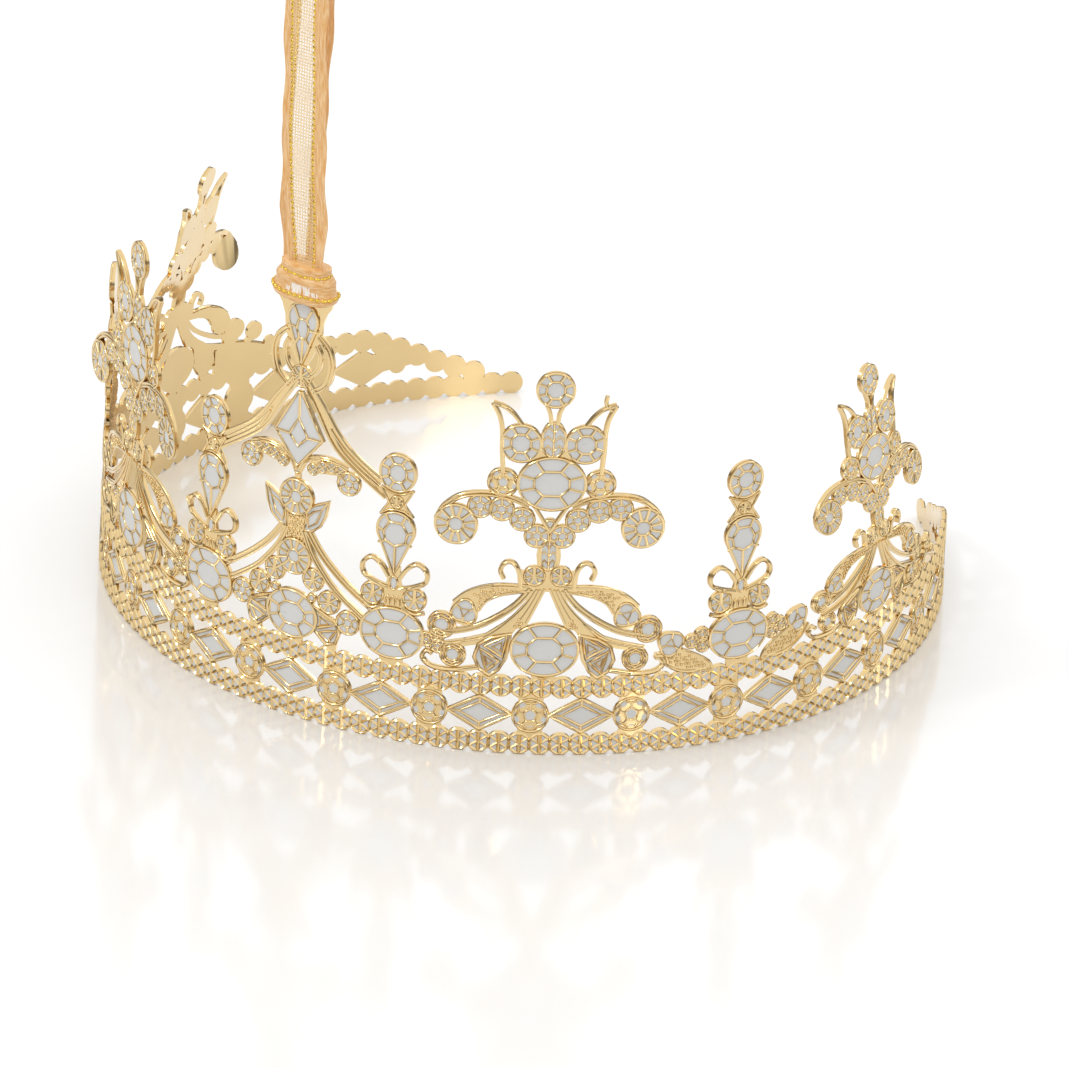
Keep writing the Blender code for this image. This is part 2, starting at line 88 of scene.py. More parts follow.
# The heads of the two left bouquets, as a slope and a curve away from the ring and a lean inwards: they
# have sprung flatter, and the outer one is also turned and leans on its neck
LEFT_HEADS = {
    BOUQUETS[0]: (0.0, 0.025, 0.0),
    BOUQUETS[1]: (math.tan(math.radians(10)), 0.015, math.tan(math.radians(4))),
}
PLATE_STEP = 1.0  # the sheet is bent in steps of this length
LINE_STEP = 0.7  # and the raised lines in steps no longer than this
GRAIN_SPACING = 0.22
BEAD_LIP = 0.08  # width of the metal round a bead's enamel
GEM_LIP = 0.1
LINE_INSET = 0.06  # lines inside a bead or a gem end this far from its edge
GEM_RISE = 0.12 * MM  # how far the gems stand above the sheet
GEM_ROOT = 0.05 * MM  # and how deep they reach into it

# The tab, the knot and the loop
HOLE = (0.75, 0.3)  # half sizes of the slot in the tab
HOLE_HEIGHT = 22.95
TAB_TOP = 23.55
KNOT_HEIGHT = 23.3
KNOT_RINGS = (  # heights above KNOT_HEIGHT, half widths and half depths
    (-0.8, 1.1, 0.4),
    (-0.76, 1.5, 0.7),
    (-0.64, 1.72, 0.88),
    (-0.46, 1.8, 0.92),
    (-0.3, 1.8, 0.86),
    (-0.22, 1.7, 0.76),
    (0.0, 1.64, 0.74),
    (0.25, 1.62, 0.76),
    (0.4, 1.6, 0.84),
    (0.6, 1.46, 0.8),
    (0.72, 1.3, 0.68),
    (0.85, 1.32, 0.72),
    (1.1, 1.34, 0.7),
    (1.2, 1.2, 0.52),
)
LOWER_THREAD = 4  # the rings that the two metallic threads of the knot follow
UPPER_THREAD = 10
LOOP_TOP = 42.5
LOOP_HALF = 0.62
LOOP_FOOT = 0.5
LOOP_SIDE = (0.18, 0.42)  # how far the loop hangs to the left of the tab's middle, at the knot and above
LOOP_TURNS = (52, 17)  # how far round to the left the back strand is, at the knot and at the top, in degrees

# Across the ribbon, in half widths: satin edges, and sheer organza between two metallic threads
ACROSS = (-1.0, -0.9, -0.78, -0.64, -0.4, -0.15, 0.15, 0.42, 0.56, 0.7, 0.85, 1.0)
SHEER = (-0.64, 0.42)
CURL = 0.91  # its edges curl, so that it looks this much narrower than when flat
RIBBON_THICK = 0.1 * MM
LUREX = (0.22 * MM, 0.7 * MM)  # radius of a metallic thread's bead, and from one to the next
ROUTE_STEPS = 70
GATHERED = 1 / 14  # the part of the ribbon at each end that the knot gathers in
WAVES = 10  # in the ribbon's edges, along all of it
WAVE_DEPTH = 0.4 * MM
SWAY = 0.05 * MM
KNOT_SIDES = 40
KNOT_CORNERS = 0.75  # below 1, so that the knot's rings are squarer than ovals

# The camera, a long lens from the front right: yaw, pitch and roll in radians, and where the middle of
# the front is from it, in pitches
CAMERA_TURN = (-0.565, 0.436, 0.045)
CAMERA_OFFSET = Vector((-12.153, 8.893, 1080.14))
CAMERA_SENSOR = 36.0
CAMERA_LENS = 737.0

LAMPS = (  # name, place and size in metres, power in watts
    ("key", (-0.35, -0.5, 0.6), 0.14, 1.2),
    ("fill", (0.65, -0.3, 0.3), 0.12, 0.25),
    ("back", (0.1, 0.6, 0.5), 0.2, 0.4),
)


def length(name, words, default, least):
    """A length, in metres, that the maker can change."""
    return bpy.props.FloatProperty(name=name, description=words, default=default, min=least, unit="LENGTH")


class CrownSizes(bpy.types.PropertyGroup):
    """Sizes that the maker would change."""

    pitch: length("Bead pitch", "From one bead of the edge rails to the next", 2.2 * MM, 0.5 * MM)
    sheet: length("Sheet thickness", "Thickness of the brass sheet", 0.35 * MM, 0.1 * MM)
    line: bpy.props.FloatProperty(
        name="Line width", description="Width of a raised gold line, in pitches", default=0.15, min=0.02
    )
    ribbon_width: length("Ribbon width", "Width of the organza ribbon", 6.0 * MM, 1.0 * MM)
    thread_pitch: length("Thread spacing", "From one organza thread to the next", 0.25 * MM, 0.05 * MM)


def linear(code):
    """A colour as Blender wants it, from its sRGB hex code."""
    parts = [int(code[i:i + 2], 16) / 255 for i in (1, 3, 5)]
    return tuple(p / 12.92 if p <= 0.04045 else ((p + 0.055) / 1.055) ** 2.4 for p in parts)


def colour(name, words, code):
    return bpy.props.FloatVectorProperty(
        name=name, description=words, default=linear(code), subtype="COLOR", size=3, min=0, max=1
    )


class CrownColours(bpy.types.PropertyGroup):
    """Colours of the finishes."""

    gold: colour("Gold", "Bright gold plating", "#E7CB96")
    gold_deep: colour("Deep gold", "Plating in the corners and pits", "#A37D42")
    cell: colour("Cell", "Silver-white enamel in the cells", "#D6D5D2")
    cell_scuff: colour("Scuff", "Fine scuffs on the enamel", "#B4B4B8")
    satin: colour("Satin", "Satin edges of the ribbon", "#DA9A48")
    satin_pale: colour("Pale satin", "Light on the satin threads", "#F1CE9C")
    organza: colour("Organza", "Sheer middle of the ribbon", "#F2D6A0")
    lurex: colour("Lurex", "Metallic bead threads", "#FFD65C")


def sizes():
    return bpy.context.scene.crown_sizes


def colours():
    return bpy.context.scene.crown_colours


# ---------------------------------------------------------------- bending


def curve_rows():
    """Points of the ring's curve on the right side: (x, y, outward x, outward y) at even steps."""
    rows, x, y = [], 0.0, 0.0
    for i in range(int((TIP + 3) / CURVE_STEP)):
        s = i * CURVE_STEP
        out = heading(s)
        rows.append((x, y, math.sin(out), -math.cos(out)))
        middle = heading(s + CURVE_STEP / 2)
        x += CURVE_STEP * math.cos(middle)
        y += CURVE_STEP * math.sin(middle)
    return rows


def heading(s):
    """The direction of the ring's curve at s, as an angle."""
    r = s / TURN_REACH
    return s * (TURN + TURN_SQUARE * r ** 2 / 3 + TURN_FOURTH * r ** 4 / 5)


ROWS = curve_rows()
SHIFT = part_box("etched_sheet")[0].y  # the outer face at the middle of the front


def off_the_ring(s, z):
    """How far the head of a bouquet has sprung outwards from the ring's curve, in pitches."""
    up = z - LEAN_FOOT
    if up <= 0:
        return 0.0
    off = -LEAN * up if abs(s) > LEAN_START else 0.0
    axis = min(BOUQUETS, key=lambda place: abs(abs(s) - place))
    away = abs(s) - axis
    if s < 0 and abs(away) < HEAD_REACH:
        slope, curve, lean = LEFT_HEADS[axis]
        off += (slope * away + curve * away ** 2) * min(1, up / 2) - lean * up
    return off


def bend(mesh_verts, depth):
    """Moves vertices of flat artwork, in pitches, to the ring: depth gives a vertex's height in metres
    outwards from the sheet's inner face."""
    pitch, sheet = sizes().pitch, sizes().sheet
    for v in mesh_verts:
        s, z, t = v.co.x, v.co.z, depth(v)
        place = abs(s) / CURVE_STEP
        i = int(place)
        f = place - i
        x, y, out_x, out_y = (p + f * (q - p) for p, q in zip(ROWS[i], ROWS[i + 1]))
        t += off_the_ring(s, z) * pitch
        v.co = (
            math.copysign(x * pitch + t * out_x, s),
            y * pitch + t * out_y + SHIFT + sheet,
            z * pitch,
        )


# ---------------------------------------------------------------- flat shapes


def arc(s, z, half_width, half_height, start, end, count):
    """Points along part of an oval, from one angle in degrees to another."""
    angles = [math.radians(start + (end - start) * i / (count - 1)) for i in range(count)]
    return [(s + half_width * math.cos(a), z + half_height * math.sin(a)) for a in angles]


def oval(s, z, half_width, half_height, sides=28):
    return arc(s, z, half_width, half_height, 0, 360, sides + 1)[:-1]


def disc(s, z, radius, sides=16):
    return oval(s, z, radius, radius, sides)


def block(half_width, low, high, s=0.0):
    """An upright rectangle round s."""
    return [(s - half_width, low), (s + half_width, low), (s + half_width, high), (s - half_width, high)]


def even(half):
    """An outline that is its own mirror image, from the right half of it, bottom to top."""
    return half + [(-s, z) for s, z in reversed(half) if s > 0]


def pear(point, top, half_width):
    """A pear shape on the axis: pointed below, round above."""
    return [(0, point)] + arc(0, top - half_width, half_width, half_width, -25, 205, 21)


def smooth(points):
    """Points along a smooth curve through the given ones."""
    steps = 4
    ends = [points[0]] + list(points) + [points[-1]]
    line = []
    for a, b, c, d in zip(ends, ends[1:], ends[2:], ends[3:]):
        for i in range(steps):
            f = i / steps
            line.append(
                tuple(
                    0.5 * (2 * q + f * (r - p) + f * f * (2 * p - 5 * q + 4 * r - w)
                           + f ** 3 * (3 * q - p - 3 * r + w))
                    for p, q, r, w in zip(a, b, c, d)
                )
            )
    return line + [points[-1]]


def beside(line, away):
    """A line at a distance to the left of another."""
    moved = []
    for i, (s, z) in enumerate(line):
        before, after = line[max(i - 1, 0)], line[min(i + 1, len(line) - 1)]
        along = Vector((after[0] - before[0], after[1] - before[1])).normalized()
        moved.append((s - along.y * away, z + along.x * away))
    return moved


def ribbon_of(line, width):
    """A strip of even width along a line, as four-sided shapes."""
    left, right = beside(line, width / 2), beside(line, -width / 2)
    return [in_order([a, b, c, d]) for a, b, c, d in zip(left, right, right[1:], left[1:])]


def in_order(corners):
    """Corners sorted round their middle, so that the shape doesn't cross itself in a tight bend."""
    s0 = sum(s for s, _ in corners) / len(corners)
    z0 = sum(z for _, z in corners) / len(corners)
    return sorted(corners, key=lambda p: math.atan2(p[1] - z0, p[0] - s0))


def shrunk(outline, by):
    """An outline pulled in towards its middle by about the given distance."""
    s0 = sum(s for s, _ in outline) / len(outline)
    z0 = sum(z for _, z in outline) / len(outline)
    small = []
    for s, z in outline:
        away = Vector((s - s0, z - z0))
        keep = 1 - by / away.length
        small.append((s0 + away.x * keep, z0 + away.y * keep))
    return small


class Artwork:
    """Flat artwork: plates of sheet, raised lines, raised gems and grains."""

    def __init__(self):
        self.plates = []  # (outline, whether it shows enamel)
        self.lines = []  # (points, width in line widths, closed, whether it lies on a gem)
        self.gems = []  # outlines
        self.grains = []  # (s, z, radius)

    def plate(self, *outlines):
        self.plates += [(list(outline), False) for outline in outlines]

    def cell(self, *outlines):
        self.plates += [(list(outline), True) for outline in outlines]

    def line(self, points, width=1.0, closed=False, on_gem=False):
        self.lines.append((list(points), width, closed, on_gem))

    def gem_line(self, points, closed=False, width=1.0):
        self.line(points, width, closed, True)

    def moved(self, move):
        """The same artwork with all its points moved."""
        copy = Artwork()
        copy.plates = [([move(*p) for p in outline], white) for outline, white in self.plates]
        copy.lines = [([move(*p) for p in points], *rest) for points, *rest in self.lines]
        copy.gems = [[move(*p) for p in outline] for outline in self.gems]
        copy.grains = [(*move(s, z), radius) for s, z, radius in self.grains]
        return copy

    def add(self, other):
        self.plates += other.plates
        self.lines += other.lines
        self.gems += other.gems
        self.grains += other.grains

    def add_both(self, other):
        """Adds other artwork and its mirror image."""
        self.add(other)
        self.add(other.moved(lambda s, z: (-s, z)))


# ---------------------------------------------------------------- small motifs


def wire(art, points, width):
    """A round wire that stands on a strip of the sheet."""
    line = smooth(points)
    art.plate(*ribbon_of(line, width))
    art.line(line, width / sizes().line * 0.95)


def double_wire(art, points, width):
    """A flat strip with a raised line along both of its edges."""
    line = smooth(points)
    art.plate(*ribbon_of(line, width))
    for side in (-1, 1):
        art.line(beside(line, side * (width - sizes().line) / 2))


def rim(art, outline, width=1.0, on_gem=False):
    """A raised line just inside an outline."""
    art.line(shrunk(outline, width * sizes().line / 2), width, True, on_gem)


def bead_ground(art, s, z, radius, sides=16, lip=BEAD_LIP, width=1.0):
    """A disc of enamel in a raised rim."""
    art.plate(disc(s, z, radius, sides))
    art.cell(disc(s, z, radius - lip, sides))
    rim(art, disc(s, z, radius, sides), width)


def framed_cell(art, outline, width=1.0, foot=()):
    """A cell of any outline in a raised frame, and the plate that it may stand on."""
    art.plate(outline)
    if foot:
        art.plate(foot)
    art.cell(shrunk(outline, 0.14))
    art.line(shrunk(outline, 0.07), width, True)


def rimmed_gem(art, outline):
    """The raised enamel of a gem, and the line round it."""
    art.gems.append(shrunk(outline, GEM_LIP))
    rim(art, outline, 1.0, True)


def table_and_facets(art, table, ends):
    """The outline of a gem's table, and a line from each of its corners to the gem's edge."""
    art.gem_line(table, True)
    for corner, end in zip(table, ends):
        art.gem_line([corner, end])


def ray(s, z, angle, start, end):
    """A line away from a middle, at an angle in degrees, between two distances from it."""
    a = math.radians(angle)
    return [(s + r * math.cos(a), z + r * math.sin(a)) for r in (start, end)]


def star_bead(art, s, z, radius, rays=7):
    """A small bead with rays of gold, the upper one broader."""
    bead_ground(art, s, z, radius)
    for i in range(rays):
        art.line(ray(s, z, 90 + 360 * i / rays, 0, radius - LINE_INSET), 1.0 if i else 1.5)


def honeycomb_bead(art, s, z, radius):
    """A small bead with a lattice of gold lines round a six-sided cell."""
    hub, width = 0.38 * radius, 0.85
    bead_ground(art, s, z, radius)
    art.line(arc(s, z, hub, hub, 30, 330, 6), width, True)
    for i in range(6):
        art.line(ray(s, z, 30 + 60 * i, hub, radius - LINE_INSET), width)


def flower_bead(art, s, z, radius):
    """A bead with a five-pointed star of gold round a five-sided cell."""
    art.plate(disc(s, z, radius, 20))
    art.cell(disc(s, z, radius - 0.1, 20))
    star = []
    for i in range(10):
        reach = (0.98 if i % 2 == 0 else 0.62) * (radius - LINE_INSET)
        star += ray(s, z, 90 + 36 * i, 0, reach)[1:]
    art.plate(star)
    art.cell(arc(s, z, 0.3 * radius, 0.3 * radius, 90, 378, 5))
    rim(art, disc(s, z, radius, 20))
    art.line(arc(s, z, 0.4 * radius, 0.4 * radius, 90, 378, 5), 0.8, True)
    for i in range(5):
        tip, left, right = (ray(s, z, 90 + 72 * i + turn, 0, reach * radius)[1]
                            for turn, reach in ((0, 0.66), (22, 0.78), (-22, 0.78)))
        art.line(ray(s, z, 90 + 72 * i, 0.4 * radius, 0.66 * radius), 0.8)
        art.line([left, tip, right], 0.8)


def wheel_gem(art, s, z, radius, hub):
    """A round gem: a hub of enamel, and a ring of twelve small cells round it."""
    outline = disc(s, z, radius, 28)
    art.plate(outline)
    rimmed_gem(art, outline)
    art.gem_line(disc(s, z, hub, 16), True)
    for i in range(12):
        art.gem_line(ray(s, z, 15 + 30 * i, hub, radius - LINE_INSET), False, 1.1)


def faceted_gem(art, s, z, half_width, half_height, inner=(0.5, 0.44), corner=(0.48, 0.38), spokes=(18, 60)):
    """An oval gem with an eight-sided table and eight facets round it: inner is the table's size and
    corner the length of its straight sides, as parts, and spokes are the facet lines' angles."""
    outline = oval(s, z, half_width, half_height, 36)
    art.plate(outline)
    rimmed_gem(art, outline)
    wide, tall = inner[0] * half_width, inner[1] * half_height
    table = []
    for across, up in ((1, 1), (-1, 1), (-1, -1), (1, -1)):
        near, far = (across * corner[0] * wide, up * tall), (across * wide, up * corner[1] * tall)
        pair = (far, near) if across == up else (near, far)
        table += [(s + p, z + q) for p, q in pair]
        for (p, q), angle in ((far, spokes[0]), (near, spokes[1])):
            a = math.radians(angle)
            end_s = s + across * (half_width - LINE_INSET) * math.cos(a)
            end_z = z + up * (half_height - LINE_INSET) * math.sin(a)
            art.gem_line([(s + p, z + q), (end_s, end_z)])
    art.gem_line(table, True)


def round_gem(art, s, z, half_width, half_height):
    """A nearly round gem, with a table as tall as it is wide."""
    faceted_gem(art, s, z, half_width, half_height, (0.46, 0.46), (0.42, 0.42), (22, 62))


def collet(art, s, z, radius):
    """A round gem in a collar of small facets."""
    bead_ground(art, s, z, radius, 20)
    ring = [ray(s, z, 22.5 * i, 0, radius * (0.62 if i % 2 else 0.74))[1] for i in range(16)]
    art.line(ring, 0.9, True)
    art.line(disc(s, z, radius * 0.5, 16), 0.8, True)


def ring_bead(art, s, z, radius):
    """A tiny ring with a dot of enamel in it."""
    art.plate(disc(s, z, radius, 12))
    art.cell(disc(s, z, radius * 0.45, 10))
    art.line(disc(s, z, radius * 0.7, 12), 0.9, True)


def cross_bead(art, s, z, radius):
    """A tiny bead with two crossed lines."""
    bead_ground(art, s, z, radius, 12, 0.07, 0.8)
    for turn in (40, 140):
        art.line(ray(s, z, turn, -radius + 0.05, radius - 0.05), 0.8)


def three_sided_gem(art, s, z, radius, turn):
    """A round-cornered gem: a small three-sided table, and three lines from it to the rim."""
    outline = []
    for i in range(24):
        a = math.radians(turn + 15 * i)
        reach = radius * (1 + 0.1 * math.cos(3 * (a - math.radians(turn))))
        outline.append((s + reach * math.cos(a), z + reach * math.sin(a)))
    art.plate(outline)
    art.cell(shrunk(outline, 0.09))
    rim(art, outline)
    table = [ray(s, z, turn + 60 + 120 * i, 0, radius * 0.42)[1] for i in range(3)]
    art.line(table, 0.9, True)
    for i in range(3):
        near, far = ray(s, z, turn + 60 + 120 * i, radius * 0.42, radius * 0.86)
        art.line([near, far], 0.9)


def grains(art, outline, seed):
    """Tiny grains scattered over an outline, as on beaded ground."""
    dice = random.Random(seed)
    spacing, rise = GRAIN_SPACING, GRAIN_SPACING * 0.87
    low_s, high_s = min(p[0] for p in outline), max(p[0] for p in outline)
    low_z, high_z = min(p[1] for p in outline), max(p[1] for p in outline)
    inside = shrunk(outline, 0.1)
    rows = int((high_z - low_z) / rise) + 1
    columns = int((high_s - low_s) / spacing) + 1
    for row in range(rows):
        for column in range(columns):
            s = low_s + (column + 0.5 * (row % 2)) * spacing + dice.uniform(-0.03, 0.03)
            z = low_z + row * rise + dice.uniform(-0.03, 0.03)
            if within(s, z, inside):
                art.grains.append((s, z, dice.uniform(0.08, 0.1)))


def within(s, z, outline):
    """Whether a point is inside an outline."""
    inside = False
    for (s1, z1), (s2, z2) in zip(outline, outline[1:] + outline[:1]):
        if (z1 > z) != (z2 > z) and s < s1 + (z - z1) * (s2 - s1) / (z2 - z1):
            inside = not inside
    return inside


# ---------------------------------------------------------------- the ornaments


def middle_ornament():
    """The tall ornament in the middle of the front, which ends in the tab."""
    art = Artwork()
    art.plate(block(0.6, 4.0, 4.6))
    faceted_gem(art, 0, 5.55, 1.5, 1.32, spokes=(20, 62))
    art.plate(even([(0.5, 9.3), (0.42, 10.3), (0.6, 11.2)]))
    grains(art, even([(0.62, 9.3), (0.5, 10.3), (0.7, 11.2)]), 2)
    wheel_gem(art, 0, 8.65, 0.99, 0.36)
    wheel_gem(art, 0, 11.86, 0.99, 0.36)
    art.plate(block(0.16, 12.7, 13.9))
    ring_bead(art, 0, 13.3, 0.22)
    kite = even([(0, 13.45), (1.45, 15.2), (0.12, 17.6)])
    art.plate(kite)
    art.gems.append(even([(0, 13.65), (1.32, 15.2), (0.05, 17.5)]))
    art.gem_line(shrunk(kite, 0.09), True)
    art.gem_line(even([(0, 14.6), (0.53, 15.2), (0, 16.15)]), True)
    art.gem_line([(0, 16.15), (0, 17.5)])
    for side in (-1, 1):
        art.gem_line([(side * 0.53, 15.2), (side * 1.33, 15.2)])
    art.plate(
        even([(0, 18.6), (0.5, 19.4), (1.05, 20.6), (1.1, 21.4), (1.3, 22.0), (1.58, 22.4), (1.62, 23.0),
              (1.3, 23.4), (0.8, TAB_TOP)])
    )
    star_bead(art, 0, 18.38, 0.64, 8)
    drop_gem(art)
    art.add_both(middle_side())
    return art


def drop_gem(art):
    """The pear-shaped gem on the tab."""
    rimmed_gem(art, pear(18.9, 22.38, 0.92))
    table = even([(0.2, 20.42), (0.36, 20.95), (0.22, 21.45)])
    table_and_facets(art, table, even([(0.46, 20.0), (0.86, 21.0), (0.5, 22.02)]))
    art.gem_line([(0, 20.42), (0, 19.1)])


def middle_side():
    """The right half of what stands on both sides of the middle ornament's axis."""
    art = Artwork()
    double_wire(art, [(0.75, 10.2), (1.35, 9.35), (2.0, 8.65), (3.0, 7.8), (4.3, 6.9)], 0.36)
    double_wire(art, [(0.5, 10.1), (0.95, 9.1), (1.6, 8.2), (2.4, 7.35), (4.0, 6.2)], 0.3)
    panel = [(1.2, 6.3), (1.3, 4.9), (2.0, 4.3), (2.55, 4.5), (2.75, 5.1), (2.5, 5.75)]
    framed_cell(art, panel, 1.3, [(1.9, 4.0), (2.5, 4.0), (2.6, 4.7), (1.8, 4.7)])
    art.line([(1.45, 6.0), (2.5, 5.55), (1.5, 5.15)], 1.2)
    art.line([(1.6, 5.75), (2.1, 5.5), (1.6, 5.3)], 1.0, True)
    art.line([(1.6, 4.95), (2.55, 5.25), (2.1, 4.55)], 1.2, True)
    star_bead(art, 2.05, 6.65, 0.64)
    star_bead(art, 1.12, 7.65, 0.62)
    ring_bead(art, 1.08, 6.65, 0.28)
    honeycomb_bead(art, 3.12, 5.8, 0.67)
    leaf = [(0.5, 10.1), (1.0, 10.2), (1.45, 10.55), (1.75, 11.2), (1.9, 12.12), (1.1, 11.75), (0.6, 11.4)]
    framed_cell(art, leaf)
    art.line([(0.75, 10.4), (1.2, 10.75), (1.5, 11.55), (1.0, 11.3), (0.7, 10.95)], 0.9, True)
    art.line([(1.5, 11.55), (1.8, 12.0)], 0.8)
    arm = [(0.3, 18.2), (1.25, 17.0), (2.0, 15.9), (3.0, 14.85), (4.6, 13.75)]
    under = [(0.2, 18.2), (1.05, 16.9), (1.85, 15.5), (2.7, 14.6), (4.9, 13.05)]
    art.plate(*ribbon_of(smooth(arm), 0.42), *ribbon_of(smooth(under), 0.34))
    art.line(beside(smooth(arm), 0.14), 1.2)
    art.line(beside(smooth(under), -0.1), 1.2)
    art.line(smooth([(1.78, 16.0), (2.35, 15.1), (3.2, 14.35), (4.5, 13.45)]), 1.1)
    art.line(smooth([(1.78, 16.0), (2.7, 15.0), (4.55, 13.62)]), 0.9)
    art.plate([(0.5, 13.6), (0.8, 13.3), (1.2, 13.45), (2.4, 13.6), (2.6, 14.2), (0.8, 14.1)])
    double_wire(art, [(0.1, 13.3), (0.45, 13.95), (1.0, 14.22), (1.9, 14.33), (2.8, 14.05)], 0.28)
    for s, z in ((0.88, 13.58), (1.42, 13.83), (1.93, 13.93), (2.4, 13.85)):
        cross_bead(art, s, z, 0.34)
    honeycomb_bead(art, 2.88, 13.3, 0.66)
    double_wire(art, [(0.7, 17.7), (1.4, 18.3), (1.68, 19.3), (1.45, 20.2), (0.9, 20.75)], 0.34)
    double_wire(art, [(0.4, 18.4), (0.9, 19.0), (1.02, 19.7), (0.8, 20.2)], 0.28)
    return art


def spire():
    """A slender ornament: an oval gem, a bow, a drop and a round gem."""
    art = Artwork()
    art.plate(block(0.6, 4.0, 4.6))
    faceted_gem(art, 0, 5.8, 1.68, 1.42)
    art.plate(even([(0.55, 7.0), (0.5, 8.0), (0.36, 8.6), (0.3, 9.4)]))
    for s in (-0.26, 0.0, 0.26):
        art.line([(s - 0.13, 7.3), (s - 0.08, 7.65), (s, 7.78), (s + 0.08, 7.65), (s + 0.13, 7.3)], 0.7)
    art.cell(oval(0, 8.5, 0.15, 0.3, 12))
    art.line(oval(0, 8.5, 0.2, 0.36, 14), 0.8, True)
    outline = pear(8.9, 12.4, 1.02)
    art.plate(outline)
    rimmed_gem(art, outline)
    table = even([(0, 10.5), (0.52, 10.75), (0.62, 11.25), (0.33, 11.78)])
    table_and_facets(art, table, even([(0, 9.1), (0.86, 10.6), (0.95, 11.4), (0.52, 12.2)]))
    art.plate(even([(0.9, 12.15), (0.38, 12.8), (0.9, 13.55)]))
    star_bead(art, 0, 12.88, 0.38, 8)
    art.line([(-0.85, 12.12), (-0.4, 12.4), (0, 12.46), (0.4, 12.4), (0.85, 12.12)], 0.9)
    art.line([(-0.85, 13.62), (-0.4, 13.38), (0, 13.32), (0.4, 13.38), (0.85, 13.62)], 0.9)
    round_gem(art, 0, 14.45, 0.98, 1.05)
    side = Artwork()
    star_bead(side, 1.08, 7.75, 0.64)
    wire(side, [(0.3, 8.2), (1.0, 8.4), (1.6, 8.75), (1.65, 9.3), (1.2, 9.68), (0.7, 9.4), (0.3, 8.8)], 0.24)
    side.line([(0.84, 12.14), (0.42, 12.82), (0.84, 13.58)], 0.9)
    wire(side, [(0.45, 7.2), (1.1, 6.98), (1.6, 7.1)], 0.2)
    art.add_both(side)
    return art


def bouquet():
    """A broad ornament: a skirt of stalks and wings, two scrolled arms and a flower of gems."""
    art = Artwork()
    art.plate(block(0.6, 4.0, 4.6))
    faceted_gem(art, 0, 5.7, 1.72, 1.47)
    art.plate(even([(0.9, 8.85), (1.25, 9.0), (1.36, 9.95)]), even([(0.5, 9.9), (0.6, 10.8), (0.5, 11.7)]))
    barrel(art, 10.85, 0.5, 0.9)
    ring_bead(art, 0, 12.5, 0.34)
    art.plate(even([(1.15, 15.8), (0.8, 16.4)]))
    barrel(art, 17.05, 0.66, 1.0)
    faceted_gem(art, 0, 14.7, 1.72, 1.48)
    round_gem(art, 0, 19.75, 0.98, 0.98)
    art.add_both(bouquet_top())
    art.add_both(bouquet_foot())
    return art


def barrel(art, z, half_width, half_height):
    """An upright oval on the axis with three rows of small arches, like scales."""
    outline = oval(0, z, half_width, half_height, 24)
    art.plate(outline)
    art.cell(shrunk(outline, 0.1))
    rim(art, outline)
    for rise in (-0.5, 0.0, 0.5):
        reach = half_width * math.sqrt(1 - rise ** 2) * 0.9
        low, high = z + half_height * (rise - 0.12), z + half_height * (rise + 0.2)
        art.line([(-reach, low), (-reach / 2, high), (0, low), (reach / 2, high), (reach, low)], 0.8)
    art.line([(0, z - half_height * 0.9), (0, z + half_height * 0.9)], 0.7)


def bouquet_top():
    """The right half of a bouquet's head."""
    art = Artwork()
    star_bead(art, 0.65, 9.68, 0.57)
    wire(art, [(1.3, 9.0), (1.42, 9.9), (1.75, 10.35), (2.1, 10.3), (2.32, 9.9), (2.15, 9.45)], 0.24)
    wire(art, [(0, 12.1), (0.5, 12.95), (0.88, 13.55)], 0.2)
    double_wire(
        art,
        [(1.05, 13.45), (2.0, 13.84), (3.2, 13.98), (4.35, 13.75), (5.2, 13.1), (5.58, 12.35)],
        0.32,
    )
    for s, z in ((0.62, 11.85), (1.36, 12.72), (2.38, 13.2), (3.45, 13.28)):
        honeycomb_bead(art, s, z, 0.66)
    wheel_gem(art, 4.6, 12.2, 1.1, 0.4)
    flower_bead(art, 2.38, 14.65, 0.8)
    round_gem(art, 1.58, 16.82, 1.05, 1.05)
    wire(art, [(2.4, 15.2), (2.5, 16.4), (2.52, 17.4), (2.68, 18.2), (3.02, 18.85)], 0.24)
    wire(art, [(3.02, 18.9), (2.45, 18.72), (1.95, 18.3), (1.55, 17.75)], 0.22)
    wire(art, [(0.16, 17.9), (0.24, 18.5), (0.5, 19.1)], 0.22)
    return art


